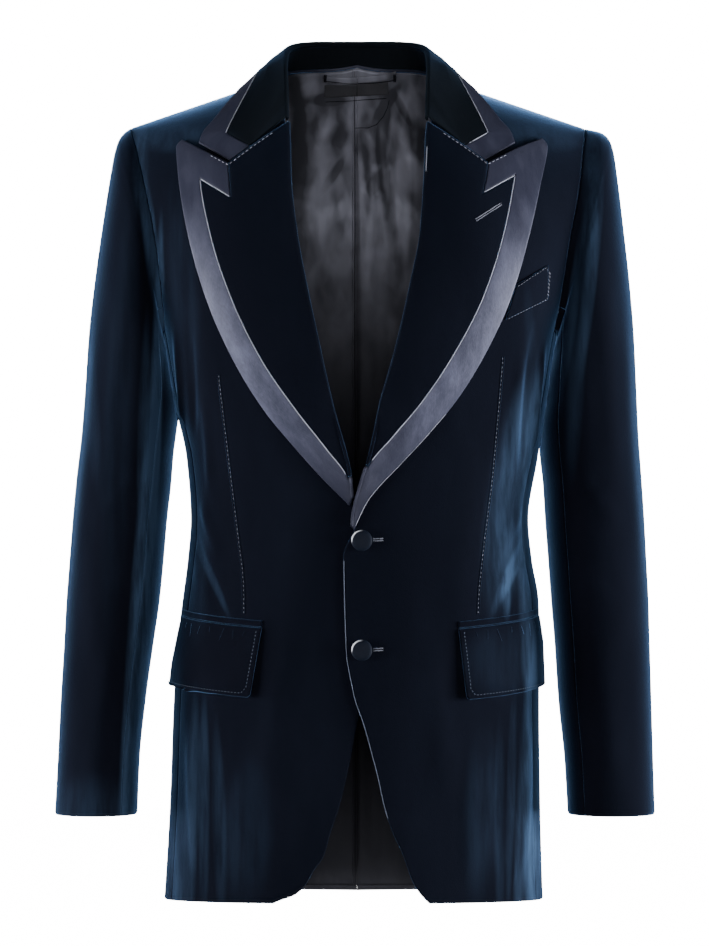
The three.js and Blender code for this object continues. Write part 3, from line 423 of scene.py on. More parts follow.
def cloth_mesh(name, grid, thickness, keep=None, roll=(2.2, 0.9), faces_in=0):
    """A wall of cloth over a grid, its edges rolled in by roll = (width, depth)."""
    rows, columns = grid.shape[:2]
    keep = np.ones((rows - 1, columns - 1), bool) if keep is None else keep
    normals = grid_normals(grid)
    width, depth = roll
    near = clamp(1 - border_distance(grid, keep) / width)
    outer = grid - normals * (depth * (1 - np.sqrt(1 - near**2)))[..., None]
    inner = grid - normals * thickness
    points = np.concatenate([outer.reshape(-1, 3), inner.reshape(-1, 3)]) / 1000
    number = np.arange(rows * columns).reshape(rows, columns)
    a, b, c, d = (n[keep] for n in (number[:-1, :-1], number[:-1, 1:], number[1:, 1:], number[1:, :-1]))
    inside = rows * columns
    quads = [np.stack([a, b, c, d], -1), np.stack([a, d, c, b], -1) + inside]
    padded = np.zeros((rows + 1, columns + 1), bool)
    padded[1:-1, 1:-1] = keep
    for corner, (j, i) in {(0, 1): (-1, 0), (1, 2): (0, 1), (2, 3): (1, 0), (3, 0): (0, -1)}.items():
        open_side = keep & ~padded[1 + j : rows + j, 1 + i : columns + i]
        pick = [number[:-1, :-1], number[:-1, 1:], number[1:, 1:], number[1:, :-1]]
        first, last = pick[corner[0]][open_side], pick[corner[1]][open_side]
        quads.append(np.stack([last, first, first + inside, last + inside], -1))
    uv_u, uv_v = arc(grid, 1) / 1000, arc(grid, 0) / 1000
    along = np.concatenate([np.stack([uv_u.ravel(), uv_v.ravel()], -1)] * 2)
    inner_faces = np.zeros(sum(map(len, quads)), int)
    inner_faces[len(quads[0]) : len(quads[0]) + len(quads[1])] = faces_in
    return make_mesh(name, points, np.concatenate(quads), along, inner_faces)


def make_mesh(name, points, quads, along, material_index=None):
    used, quads = np.unique(quads, return_inverse=True)
    quads = quads.reshape(-1, 4)
    mesh = bpy.data.meshes.new(name)
    mesh.from_pydata(points[used].tolist(), [], quads.tolist())
    layer = mesh.uv_layers.new(name="cloth")
    layer.data.foreach_set("uv", along[used][quads.ravel()].astype(np.float32).ravel())
    if material_index is not None:
        mesh.polygons.foreach_set("material_index", material_index)
    mesh.shade_smooth()
    piece = bpy.data.objects.new(name, mesh)
    bpy.context.scene.collection.objects.link(piece)
    return piece


# %% [markdown]
# # Folds
#
# Velvet is heavy and has folds that are long, soft and few; where the arm joins the body and at the
# elbow they are shorter. Each fold is a soft ridge or trough along a line laid on the cloth.
# It fades out at both ends, and what lies within its width moves in or out with it.

# %% Soft ridges and troughs
def fold_height(grid, folds):
    """How far each point of the grid is moved out by folds = [(line of points, width, height)]."""
    total = np.zeros(grid.shape[:2])
    for line, width, height in folds:
        starts, steps = line[:-1], np.diff(line, axis=0)
        lengths = length(steps)
        before = np.r_[0, np.cumsum(lengths)]
        offset = grid[:, :, None, :] - starts
        t = clamp((offset * steps).sum(-1) / np.maximum(lengths**2, 1e-9))
        gap = length(offset - t[..., None] * steps)
        nearest = gap.argmin(-1)
        pick = np.take_along_axis
        distance = pick(gap, nearest[..., None], -1)[..., 0]
        along = (before[nearest] + pick(t, nearest[..., None], -1)[..., 0] * lengths[nearest]) / before[-1]
        fade = ease(along / 0.3) * ease((1 - along) / 0.3)
        total += height * fade * np.exp(-((distance / width) ** 2))
    return total


def fold_lines(place, text):
    """Folds from a table of a start, an end, a sideways bow, a width and a height."""
    rows = table("a0 b0 a1 b1 bow width height", text)
    t = np.linspace(0, 1, 12)
    folds = []
    for a0, b0, a1, b1, bow, width, height in zip(*rows.values()):
        side_step = bow * np.sin(np.pi * t)
        folds.append((place(mix(a0, a1, t) + side_step, mix(b0, b1, t)), width, height))
    return folds


def moved_out(grid, height):
    return grid + grid_normals(grid) * height[..., None]


# %% The panels' own grids
def row_z(level, angle):
    down = clamp((CHEST_Z - level) / (CHEST_Z - HEM_Z)) ** 3
    turned = angle / 90 - 1
    front = HEM_SHIFT["front"] * (1 - (turned + 1) ** 2)
    return level + down * np.where(turned < 0, front, HEM_SHIFT["back"] * turned**2)


def front_seam(side, z):
    share = mix(0.955, 0.979, ease((z + 400) / 160))
    return angle_at(side, z, share * BODY_AT[side_name(side)](z))


def front_panel(side, u, r):
    """The front from its edge (u = 0) to its side seam, from hem (r = 0) by chest (1) to shoulder (2)."""
    name = side_name(side)
    u, r = np.broadcast_arrays(u, r)

    def inset(z):
        return (ROLL_RADIUS + 1.6) * ease((z - LAPEL_FOOT[name]) / 23)

    level = mix(HEM_Z, CHEST_Z, clamp(r))
    first = angle_at(side, level, EDGE_AT[name](row_z(level, 25)) + inset(level))
    angle = mix(first, front_seam(side, level) - 0.02, u)
    low = on_front(side, side * body_point(side, level, angle)[..., 0], row_z(level, angle), 0)
    sine = np.sin(np.radians(clamp(r - 1) * RIDGE_TURN))
    high_level = mix(CHEST_Z, ARM_TOP_Z, sine)
    fold_z = mix(CHEST_Z, shoulder_z(EDGE_AT[name](0)), sine)
    half = BODY_AT[name](high_level)
    first = (EDGE_AT[name](fold_z) + inset(fold_z) + 4 * ease(fold_z / 10)) / half
    last = ARMHOLE_AT[name](high_level) / half
    share = np.sin(mix(np.arcsin(first**1.3), np.arcsin(last**1.3), u)) ** (1 / 1.3)
    high = shoulder_point(side, share * half, clamp(r - 1) * RIDGE_TURN)
    return np.where((r <= 1)[..., None], low, high)


def side_panel(side, u, r):
    level = mix(HEM_Z, CHEST_Z, r)
    first = front_seam(side, level)
    angle = mix(first, 180 - first, u)
    dip = 8 * np.sin(np.pi * clamp(u)) * clamp(1 - (CHEST_Z - level) / 60)
    return body_point(side, row_z(level, angle) - dip, angle)


def neck_turn(x):
    y = NECK["depth"] * np.sqrt(clamp(1 - (x / NECK["half_width"]) ** 2))
    share = x / BODY_AT["right"](ARM_TOP_Z)
    depth = BODY_AT["back"](CHEST_Z) * (1 - share**2.6) ** (1 / 2.6)
    return np.minimum(RIDGE_TURN, np.degrees(np.arccos(clamp(y / depth))))


def back_panel(side, u, r):
    """The back from its centre seam (u = 0). Below the vent's top its last strip lies under the side."""
    name = side_name(side)
    u, r = np.broadcast_arrays(u, r)
    level = mix(HEM_Z, CHEST_Z, clamp(r))
    seam = 180 - front_seam(side, level) + 0.02
    vent = clamp((VENT["top"] - level) / 6)
    open_angle = mix(179.9995, seam + 0.4, clamp(u / VENT["column"]))
    open_angle = open_angle - clamp((u - VENT["column"]) / (1 - VENT["column"])) * VENT["underlap"]
    angle = mix(mix(179.9995, seam, u), open_angle, vent)
    low = body_point(side, row_z(level, angle), angle)
    inward = unit(point(-low[..., 0], -low[..., 1] / 2, 0 * level))
    low = low + inward * (VENT["inset"] * vent * ease((u - 0.6) / (VENT["column"] - 0.6)))[..., None]
    rise = clamp(r - 1)
    high_level = mix(CHEST_Z, ARM_TOP_Z, np.sin(np.radians(rise * RIDGE_TURN)))
    out = ARMHOLE_AT[name](high_level)
    chest = np.abs(body_point(side, CHEST_Z + 0 * u, mix(180, 180 - front_seam(side, CHEST_Z), u))[..., 0])
    x = mix(chest / ARMHOLE_AT[name](CHEST_Z) * out, u * out, ease(rise * 1.4))
    high = shoulder_point(side, np.maximum(x, 0.02), 180 - rise * neck_turn(x))
    return np.where((r <= 1)[..., None], low, high)


def laid_out(place, side, columns, rows, flip):
    """The grid of a panel, its columns turned round where needed so that it faces out."""
    u = columns[::-1] if flip else columns
    return place(side, u[None, :], rows[:, None])


def body_rows(low, high):
    """Rows from hem to chest, then on to the shoulder."""
    return np.r_[spread(low, 0, 1, 0.7), spread(high, 1, 2, 0.5)[1:]]


# %% The sleeve's grid
def armhole_point(side, angle):
    back = angle > 180
    turned = np.where(back, 360 - angle, angle)
    lowest = 140
    turn = 90 * (1 - np.minimum(turned, lowest) / lowest)
    level = mix(CHEST_Z, ARM_TOP_Z, np.sin(np.radians(turn)))
    high = shoulder_point(side, ARMHOLE_AT[side_name(side)](level), np.where(back, 180 - turn, turn))
    u = clamp((turned - lowest) / (180 - lowest)) / 2
    first = float(front_seam(side, CHEST_Z))
    low_angle = mix(first, 180 - first, np.where(back, 1 - u, u))
    low = body_point(side, CHEST_Z - 8 * np.sin(np.pi * u), low_angle)
    return np.where((turned <= lowest)[..., None], high, low)


def sleeve_ellipse(side, index, angle):
    letter = "R" if side < 0 else "L"
    out_x, in_x = SLEEVE_AT["out" + letter](index), SLEEVE_AT["in" + letter](index)
    out_z, in_z = SLEEVE_AT["outZ"](index), SLEEVE_AT["inZ"](index)
    share = (1 + np.cos(np.radians(angle))) / 2
    y = SLEEVE_AT["y"](index) - SLEEVE_AT["depth"](index) * signed_power(np.sin(np.radians(angle)), 0.92)
    return point(side * mix(in_x, out_x, share), y, mix(in_z, out_z, share))


def sleeve_point(side, angle, index):
    angle, index = np.broadcast_arrays(np.asarray(angle, float) % 360, np.asarray(index, float))
    own = SLEEVE_AT["seam"](index)
    shift = armhole_point(side, angle) - sleeve_ellipse(side, 0 * index, angle)
    at = sleeve_ellipse(side, index, angle) + shift * own[..., None] + point(side * 0.15 * own, 0, 0)
    # over the seam the cloth turns in, under the shoulder
    middle = (sleeve_ellipse(side, index, 0 * angle) + sleeve_ellipse(side, index, 0 * angle + 180)) / 2
    return at + unit(middle - at) * (4 * clamp(-index))[..., None]


def body_reach(side, z, y):
    """The body's half width at a height and a depth."""
    at = {key: value(z) for key, value in BODY_AT.items()}
    depth = np.where(y < 0, at["front"], at["back"])
    return at[side_name(side)] * (1 - clamp(np.abs(y) / depth) ** at["power"]) ** (1 / at["power"])


def beside_body(side, at):
    """Where the sleeve hangs against the body it lies flat along it, a hair's breadth off."""
    x, y, z = np.moveaxis(at, -1, 0)
    least = body_reach(side, np.minimum(z, CHEST_Z), y) + SLEEVE_CLEARANCE
    return point(np.where(z < CHEST_Z, side * np.maximum(side * x, least), x), y, z)


# %% The lapel's and the collar's grids
def roll_frame(along, fall, out):
    along = unit(along)
    crest = -unit(fall - along * (fall * along).sum(-1, keepdims=True))
    outside = np.cross(crest, along)
    return crest, np.where((outside * out).sum(-1, keepdims=True) < 0, -outside, outside)


def roll_point(fold, frame, degrees, radius=ROLL_RADIUS):
    crest, outside = frame
    turn, radius = np.radians(degrees)[..., None], np.asarray(radius)[..., None]
    return fold + crest * radius * (np.cos(turn) - 1) + outside * radius * np.sin(turn)


def lapel_lines(side, v):
    name = side_name(side)
    line = {key: value(v) for key, value in LAPEL_AT[name].items()}
    fold = (EDGE_AT[name](line["rollZ"]), line["rollZ"])
    return [fold] + [(line[key + "X"], line[key + "Z"]) for key in ("notch", "band", "edge")]


def lapel_point(side, u, v):
    """u runs 0 to 3 over the fold, notch, band and edge lines, and below 0 round the fold."""
    u, v = np.broadcast_arrays(np.asarray(u, float), np.asarray(v, float))
    lines = np.array(lapel_lines(side, v))
    k = np.clip(np.floor(u), 0, 2).astype(int)
    first = np.take_along_axis(lines, k[None, None], 0)[0]
    last = np.take_along_axis(lines, k[None, None] + 1, 0)[0]
    x, z = mix(first, last, u - k)
    width = lines[3, 0] - lines[0, 0]
    across = clamp((x - lines[0, 0]) / width)
    bow = LAPEL_BOW * np.sin(np.pi * across**0.8) * clamp(width / 110)
    flat = on_front(side, x, z, CLOTH["lapel"] + 1 + bow)
    lift = (CLOTH["lapel"] - CLOTH["body"]) / 2
    x, z = lines[0]
    ahead, behind = (lapel_lines(side, clamp(v + step))[0] for step in (0.01, -0.01))
    fold = on_front(side, x, z, lift)
    along = on_front(side, *ahead, lift) - on_front(side, *behind, lift)
    frame = roll_frame(along, on_front(side, x + 12, z - 3, lift) - fold, on_front(side, x, z, 5) - fold)
    radius = mix(ROLL_END_RADIUS, ROLL_RADIUS, ease(v / 0.12))
    rolled = roll_point(fold, frame, mix(-90, 55, clamp(1 + u)), radius)
    return np.where((u > 0.02)[..., None], flat, rolled)


def on_shoulder(side, x, turn, lift):
    at = shoulder_point(side, x, turn)
    across = shoulder_point(side, x + 1, turn) - shoulder_point(side, np.maximum(x - 1, 0), turn)
    round_it = shoulder_point(side, x, np.minimum(turn + 1, 180)) - shoulder_point(side, x, turn - 1)
    out = unit(np.cross(across, round_it)) * side
    return at + out * (np.where(out[..., 2] < 0, -1, 1) * lift)[..., None]


def collar_fold(s):
    at = np.abs(s)
    return point(np.sign(s) * COLLAR_AT["foldX"](at), COLLAR_AT["foldY"](at), COLLAR_AT["foldZ"](at))


def collar_frame(side, at):
    s = side * at
    fold = collar_fold(s)
    along = collar_fold(clamp(s + 0.02, -1, 1)) - collar_fold(clamp(s - 0.02, -1, 1))
    edge = on_shoulder(side, COLLAR_AT["edgeX"](at), COLLAR_AT["edgeTurn"](at), CLOTH["collar"] + 1.1 + 0 * at)
    away = point(side * at**0.5, np.where(fold[..., 1] < 0, -1, 1 - at), 0.3)
    return fold, edge, roll_frame(along, edge - fold, away)


def collar_point(s, u):
    """The leaf from under its fold (u = -1) to the end seam (1), the band's line (2) and the edge (3)."""
    s, u = np.broadcast_arrays(np.asarray(s, float), np.asarray(u, float))
    halves = []
    for side in (-1, 1):
        at = np.maximum(side * s, 0)
        lift = CLOTH["collar"] + 1.1
        fold, edge, frame = collar_frame(side, at)
        outside = frame[1]
        start = roll_point(fold, frame, 75 + 0 * at)
        fallen = length(start - edge)[..., None]
        hung = (1 - ease((at - 0.62) / 0.28))[..., None]
        cut = ease((at - GORGE["first"]) / (1 - GORGE["first"]))
        laid = on_shoulder(
            side,
            mix(COLLAR_BAND["corner_x"], COLLAR_BAND["notch_x"], cut),
            mix(COLLAR_BAND["corner_turn"], COLLAR_BAND["notch_turn"], cut),
            lift + 1.5 * (1 - cut),
        )
        band = mix(start, edge, 1 - COLLAR_BAND["width"] / fallen) + outside * 2.5
        band = mix(band, laid, 1 - hung)
        gorge = mix(start, band, 0.55) + outside * 1.5 * hung
        gorge = mix(gorge, on_shoulder(side, GORGE["x"] + 0 * at, GORGE["turn"] + 0 * at, lift + 2), 1 - hung)
        rolled = roll_point(fold, frame, mix(-80, 75, clamp(1 + u)))
        part = [mix(a, b, clamp(u - k)[..., None]) for k, (a, b) in enumerate([(start, gorge), (gorge, band), (band, edge)])]
        leaf = np.where((u <= 1)[..., None], part[0], np.where((u <= 2)[..., None], part[1], part[2]))
        halves.append(np.where((u <= 0)[..., None], rolled, leaf))
    return np.where((s < 0)[..., None], halves[0], halves[1])


def neck_point(s):
    halves = []
    for side in (-1, 1):
        at = np.maximum(side * s, 0)
        x = NECK["half_width"] * np.sin(np.minimum(at, 0.5) * np.pi)
        behind = shoulder_point(side, x, 180 - neck_turn(x))
        share = clamp((at - 0.5) / 0.5)
        z = mix(shoulder_z(NECK["half_width"]), -34, share**1.4)
        x = mix(NECK["half_width"], EDGE_AT[side_name(side)](z) + 4, ease(share * 1.6))
        halves.append(np.where((at <= 0.5)[..., None], behind, front_point(side, x, z)))
    return np.where((s < 0)[..., None], halves[0], halves[1])


def stand_point(s, u):
    """The collar stand, on the side of the neck, from the neck seam (u = 0) up to the fold."""
    s, u = np.broadcast_arrays(np.asarray(s, float), np.asarray(u, float))
    halves = []
    for side in (-1, 1):
        at = np.maximum(side * s, 0)
        fold, _, frame = collar_frame(side, at)
        raised = mix(2.8, 1.4, ease((at - 0.5) / 0.3))[..., None]
        foot = neck_point(s) + frame[0] * raised - frame[1] * CLOTH["stand"]
        top = roll_point(fold, frame, -90 + 0 * at) - frame[0] * 1.4
        halves.append(mix(foot, top, u[..., None]))
    return np.where((s < 0)[..., None], halves[0], halves[1])


# %% [markdown]
# # Materials
#
# Velvet is a short dense pile. Seen from straight in front it swallows light, and at its folds'
# edges, where one looks across the pile, it shines. Satin is a smooth weave with long floating
# threads and a soft broad gloss. Both are made with shader nodes, and a small class lets their sums
# be written as sums.

# %% A socket that can be calculated with
class Signal:
    """The output of one shader node."""

    def __init__(self, tree, socket):
        self.tree, self.socket = tree, socket

    def sum_with(self, operation, first, second):
        if {"VECTOR"} & {getattr(x.socket, "type", "") for x in (first, second) if isinstance(x, Signal)}:
            return add_node(self.tree, "VectorMath", {0: first, 1: second}, operation=operation)
        return add_node(self.tree, "Math", {0: first, 1: second}, operation=operation)

    def __add__(self, other):
        return self.sum_with("ADD", self, other)

    def __sub__(self, other):
        return self.sum_with("SUBTRACT", self, other)

    def __rsub__(self, other):
        return self.sum_with("SUBTRACT", other, self)

    def __mul__(self, other):
        return self.sum_with("MULTIPLY", self, other)

    def __truediv__(self, other):
        return self.sum_with("DIVIDE", self, other)

    def __pow__(self, other):
        return self.sum_with("POWER", self, other)

    __radd__, __rmul__ = __add__, __mul__


def add_node(tree, kind, sockets=None, output=0, **settings):
    """Any shader node, with its settings and what goes into its sockets."""
    node = tree.nodes.new("ShaderNode" + kind)
    for name, value in settings.items():
        setattr(node, name, value)
    for name, value in (sockets or {}).items():
        if isinstance(value, Signal):
            tree.links.new(value.socket, node.inputs[name])
        else:
            node.inputs[name].default_value = value
    return Signal(tree, node.outputs[output])


class Finish:
    """A material under construction: its Principled shader and helpers for patterns."""

    def __init__(self, name, **constants):
        self.material = bpy.data.materials.new(name)
        self.material.use_nodes = True
        self.tree = self.material.node_tree
        self.shader = self.tree.nodes["Principled BSDF"]
        for socket, value in constants.items():
            self.shader.inputs[socket.replace("_", " ")].default_value = value

    def node(self, kind, sockets=None, output=0, **settings):
        return add_node(self.tree, kind, sockets, output, **settings)

    def cloth_uv(self):
        return self.node("UVMap", uv_map="cloth")

    def place(self):
        return self.node("TexCoord", output="Object")

    def noise(self, where, scale, detail=2.0, roughness=0.5):
        return self.node("TexNoise", {"Vector": where, "Scale": scale, "Detail": detail, "Roughness": roughness})

    def stretched(self, where, x, y, z=1.0, turn=0.0):
        return self.node("Mapping", {"Vector": where, "Scale": (x, y, z), "Rotation": (0, 0, turn)})

    def blend(self, factor, first, second):
        sockets = {0: factor, 6: (*first, 1.0), 7: (*second, 1.0)}
        return self.node("Mix", sockets, output=2, data_type="RGBA")

    def range(self, value, low, high, to_low=0.0, to_high=1.0):
        sockets = {"Value": value, 1: low, 2: high, 3: to_low, 4: to_high}
        return self.node("MapRange", sockets, interpolation_type="SMOOTHSTEP")

    def bump(self, height, distance, strength=1.0):
        return self.node("Bump", {"Height": height, "Distance": distance, "Strength": strength})

    def show(self, **sockets):
        for name, value in sockets.items():
            self.tree.links.new(value.socket, self.shader.inputs[name.replace("_", " ")])
        return self.material


# %% The finishes
def patch(finish, spot, up, x, z, wide, high, lean=0.0):
    """A soft patch round a place seen from the front, in millimetres; lean tilts it as it goes up."""
    rise = (up - z / 1000) / (high / 1000)
    off = (spot - x / 1000 - (up - z / 1000) * lean) / (wide / 1000)
    return finish.range(off * off + rise * rise, 0.0, 1.9, 1.0, 0.0)


# painted sheen: patches where the velvet's colour is lightened towards blue, standing in for sheen along folds and
# edges: x, z, half width, half height, lean, strength
PAINTED_SHEEN_PATCHES = """
    150 -395  22 95   0.15 0.42
    168 -405  10 105  0.05 0.85
    150 -462   6 38   0.46 0.5
    143 -488   4 22   0.0  0.36
    166 -550   8 34   0.0  0.4
    138 -552  36 30   0.0  0.06
    170 -680  10 120  0.0  0.8
    159 -690   6 105  0.05 0.3
    147 -680   4 85   0.03 0.2
    136 -705   5 80   0.0  0.12
    118 -700  16 70   0.05 0.08
    172 -300   6 95  -0.1  0.06
   -158 -430  12 90  -0.05 0.1
   -142 -466   4 38  -0.46 0.18
   -166 -190  12 80  -0.1  0.06
   -172 -690   7 115  0.0  0.34
   -158 -700   6 100  0.03 0.24
   -146 -690   5 90   0.0  0.2
   -131 -705   6 80  -0.03 0.14
   -105 -715  22 60   0.05 0.08
   -192 -285   5 125  0.03 0.9
   -198 -150   6 65  -0.12 0.6
   -204 -330   5 90   0.03 0.3
   -209 -560  10 240  0.062 1.0
   -226 -300  14 180  0.05 0.06
   -208  -75   7 40   0.0  0.25
    224 -110   7 70   0.05 0.3
    223 -185   6 95   0.11 0.26
    207 -210   5 75   0.13 0.26
    209 -280   8 90   0.05 0.16
   -262 -250   8 120 -0.1  0.12
   -254 -715  36 45   0.0  0.16
   -165  -52  44 12   0.34 0.2
    165  -52  44 12  -0.34 0.14
"""
# painted light and shade of the lining's folds, as lighter and darker patches in its colour, told the same way
PAINTED_LINING_SHADES = """
    -21  -46  10 16  0.3 -0.42
    -24  -79   5 16  0.6 -0.36
    -60  -90  10 95  0.0 -0.45
    -38 -120   9 60  0.1  0.2
    -12 -110   6 30 -0.2  0.25
     26  -40   6 24  0.1 -0.6
     20  -88   9 15  0.4 -0.4
     32 -112   6 42 -0.1 -0.6
     46  -95   7 62  0.0  0.5
     14 -140   5 40  0.1  0.2
     64  -60   5 60  0.0 -0.2
    -30   -6  20 5   0.0 -0.35
     30   -8  6 14   0.7 -0.4
     44  -14  4 14  -0.5 -0.4
"""


def velvet(name, facing, brushed, painted_sheen_color, sheen=1.0):
    """Pile that is nearly black from the front and blue along its edges; listed patches of painted sheen lighten its
    colour.
    """
    finish = Finish(
        name,
        Sheen_Weight=sheen,
        Sheen_Roughness=0.33,
        Sheen_Tint=(0.16, 0.32, 0.64, 1.0),
        Specular_IOR_Level=0.0,
    )
    where = finish.place()
    cloud = finish.noise(finish.stretched(where, 1.0, 1.0, 0.35), 14.0, 4.0, 0.6)
    pile = finish.noise(where, 900.0, 2.0, 0.7)
    mark = finish.range(cloud, 0.35, 0.75) * 0.7 + finish.range(pile, 0.3, 0.7) * 0.3
    height = pile * 0.6 + finish.noise(where, 240.0, 2.0) * 0.4
    sheen_streaks = finish.noise(finish.stretched(where, 60.0, 30.0, 6.0), 1.0, 5.0, 0.68)
    # painted sheen: the patches lighten the colour towards the sheen colour, broken up into streaks
    painted_sheen = 0.0
    spot, up = (finish.node("SeparateXYZ", {"Vector": where}, output=axis) for axis in "XZ")
    for x, z, wide, high, lean, strength in zip(*table("x z wide high lean strength", PAINTED_SHEEN_PATCHES).values()):
        painted_sheen = painted_sheen + patch(finish, spot, up, x, z, wide, high, lean) * strength
    painted_sheen = painted_sheen * finish.range(sheen_streaks, 0.32, 0.68, 0.3, 1.5)
    tone = finish.blend(mark, facing, brushed)
    color = finish.node("Mix", {0: painted_sheen, 6: tone, 7: (*painted_sheen_color, 1.0)}, output=2, data_type="RGBA")
    return finish.show(
        Base_Color=color,
        Roughness=finish.range(pile, 0.2, 0.8, 0.75, 0.95),
        Normal=finish.bump(height, 0.0006, 0.5),
    )


def satin(name, dark, light, roughness=0.42, coarse=1.0, sheen=0.0, level=0.3, lit=None, low=0.4):
    """A twill-faced weave: fine slanting ridges, soft gloss, and slow waves of brightness."""
    finish = Finish(
        name,
        Sheen_Weight=sheen,
        Sheen_Roughness=0.4,
        Sheen_Tint=(0.7, 0.75, 0.95, 1.0),
        Specular_IOR_Level=level,
        Specular_Tint=(0.72, 0.75, 1.0, 1.0),
        Anisotropic=0.4,
    )
    uv = finish.cloth_uv()
    thread = finish.noise(finish.stretched(uv, 1900.0 * coarse, 260.0 * coarse, turn=0.9), 1.0, 2.0, 0.6)
    wave = finish.noise(finish.stretched(uv, 30.0, 16.0), 1.0, 4.0, 0.6)
    smudge = finish.range(finish.noise(finish.stretched(uv, 60.0, 22.0, turn=0.5), 1.0, 3.0, 0.6), 0.42, 0.7)
    fleck = finish.noise(finish.stretched(uv, 420.0, 420.0), 1.0, 2.0, 0.7)
    mark = finish.range(wave, 0.3, 0.7) * 0.45 + finish.range(thread, 0.3, 0.7) * 0.25 + fleck * 0.15 + smudge * 0.3
    if lit:
        # painted light: the colour is brightest over a stretch of height given by four levels in millimetres, and
        # darker above it and, down to low, below it, as the cloth turns from the light
        level_now = finish.node("SeparateXYZ", {"Vector": finish.place()}, output="Z")
        rise = finish.range(level_now, lit[0] / 1000, lit[1] / 1000, 0.15, 1.0)
        mark = mark * rise * finish.range(level_now, lit[3] / 1000, lit[2] / 1000, low, 1.0)
    height = thread * 0.5 + wave * 4.0 + fleck * 0.4
    return finish.show(
        Base_Color=finish.blend(mark, dark, light),
        Roughness=finish.range(fleck * 0.5 + smudge * 0.5, 0.2, 0.8, roughness - 0.05, roughness + 0.16),
        Normal=finish.bump(height, 0.0003, 0.6),
    )


def lining_satin():
    """Smooth thin satin in soft billows. Its colour is painted darker lower down, as shade where light reaches only
    from the neck, and lighter and darker on its billows and folds, as painted light and shade.
    """
    finish = Finish("lining", Specular_IOR_Level=0.3, Specular_Tint=(0.8, 0.82, 1.0, 1.0), Anisotropic=0.3)
    where, uv = finish.place(), finish.cloth_uv()
    billow = finish.noise(finish.stretched(where, 40.0, 20.0, 22.0), 1.0, 1.0, 0.4)
    crease = finish.noise(finish.stretched(where, 90.0, 50.0, 50.0), 1.0, 1.0, 0.4)
    thread = finish.noise(finish.stretched(uv, 1500.0, 300.0, turn=0.9), 1.0, 2.0, 0.6)
    up = finish.node("SeparateXYZ", {"Vector": where}, output="Z")
    # painted shade: the colour darkens towards the bottom, out of reach of the light from the neck
    painted_light_from_neck = finish.range(up, -0.32, -0.03)
    # the billow and crease noises that shape the bump also lighten the colour where they rise: painted light on the
    # billows
    mark = finish.range(billow, 0.36, 0.64) * 0.45 + finish.range(crease, 0.36, 0.64) * 0.2 + thread * 0.12
    right = finish.node("SeparateXYZ", {"Vector": where}, output="X")
    # painted light and shade of the folds, patch by patch
    for x, z, wide, high, lean, strength in zip(*table("x z wide high lean strength", PAINTED_LINING_SHADES).values()):
        mark = mark + patch(finish, right, up, x, z, wide, high, lean) * strength
    tone = finish.blend(mark, (0.022, 0.0225, 0.028), (0.16, 0.162, 0.2))
    return finish.show(
        Base_Color=finish.node("Mix", {0: painted_light_from_neck, 6: (0.009, 0.009, 0.011, 1.0), 7: tone}, output=2, data_type="RGBA"),
        Roughness=finish.range(painted_light_from_neck, 0.3, 1.0, 0.7, 0.38),
        Normal=finish.bump(billow * 5.0 + crease * 2.0 + thread * 0.1, 0.0009, 0.7),
    )


def button_satin():
    """Dark satin drawn tight over the button, with a painted highlight on its rim, up on the left."""
    finish = Finish("button_covering", Specular_IOR_Level=0.02, Sheen_Weight=0.0)
    uv = finish.cloth_uv()
    right, up = (finish.node("SeparateXYZ", {"Vector": uv}, output=axis) for axis in "XY")
    toward = up * 0.66 - right * 0.75
    rim = finish.range((right * right + up * up) ** 0.5, 0.84, 0.93)
    painted_rim_highlight = finish.range(toward, 0.5, 0.92) * rim
    thread = finish.noise(finish.stretched(uv, 22.0, 5.0, turn=0.9), 1.0, 2.0, 0.6)
    tone = finish.blend(thread, (0.003, 0.004, 0.007), (0.006, 0.008, 0.014))
    return finish.show(
        Base_Color=finish.node("Mix", {0: painted_rim_highlight, 6: tone, 7: (0.42, 0.43, 0.47, 1.0)}, output=2, data_type="RGBA"),
        Roughness=finish.range(thread, 0.2, 0.8, 0.45, 0.6),
        Normal=finish.bump(thread, 0.0002, 0.5),
    )


VELVET = velvet("velvet", (0.0022, 0.0024, 0.0042), (0.0038, 0.0044, 0.0078), (0.022, 0.040, 0.074))
# shaded copies of the velvet for the collar, side panels and pockets: less sheen, and on the collar other base and
# sheen colours, as painted shade on the same cloth
SHADED_VELVET_COLLAR = velvet("velvet_collar", (0.0036, 0.0046, 0.0062), (0.0056, 0.0072, 0.0094), (0.012, 0.02, 0.036), sheen=0.12)
SHADED_VELVET_SIDE = velvet("velvet_side", (0.0022, 0.0024, 0.0042), (0.0038, 0.0044, 0.0078), (0.022, 0.040, 0.074), sheen=0.5)
# the satin trim has painted light by height: darker at the top and towards the foot of the lapels
SATIN = satin("satin_trim", (0.011, 0.012, 0.021), (0.066, 0.070, 0.107), level=0.1, lit=(-90, -230, -290, -420), low=0.06)
LINING = lining_satin()
BUTTON_COVER = button_satin()
LABEL = satin("label", (0.018, 0.018, 0.02), (0.03, 0.03, 0.034), roughness=0.6, coarse=1.6, level=0.15)
THREAD = satin("thread", (0.11, 0.12, 0.15), (0.2, 0.21, 0.26), roughness=0.5, coarse=2.0)
THREAD_BLACK = satin("black_thread", (0.002, 0.002, 0.003), (0.005, 0.005, 0.007), roughness=0.6, coarse=2.0, level=0.05)
THREAD_DARK = satin("dark_thread", (0.03, 0.04, 0.06), (0.07, 0.085, 0.12), roughness=0.55, coarse=2.0)
PIPING = satin("piping", (0.16, 0.17, 0.21), (0.26, 0.27, 0.33), roughness=0.4, coarse=2.0)
FINISHES = dict(velvet=VELVET, satin_trim=SATIN, lining=LINING, button_covering=BUTTON_COVER, label=LABEL)
print("finishes:", ", ".join(sorted(FINISHES)))


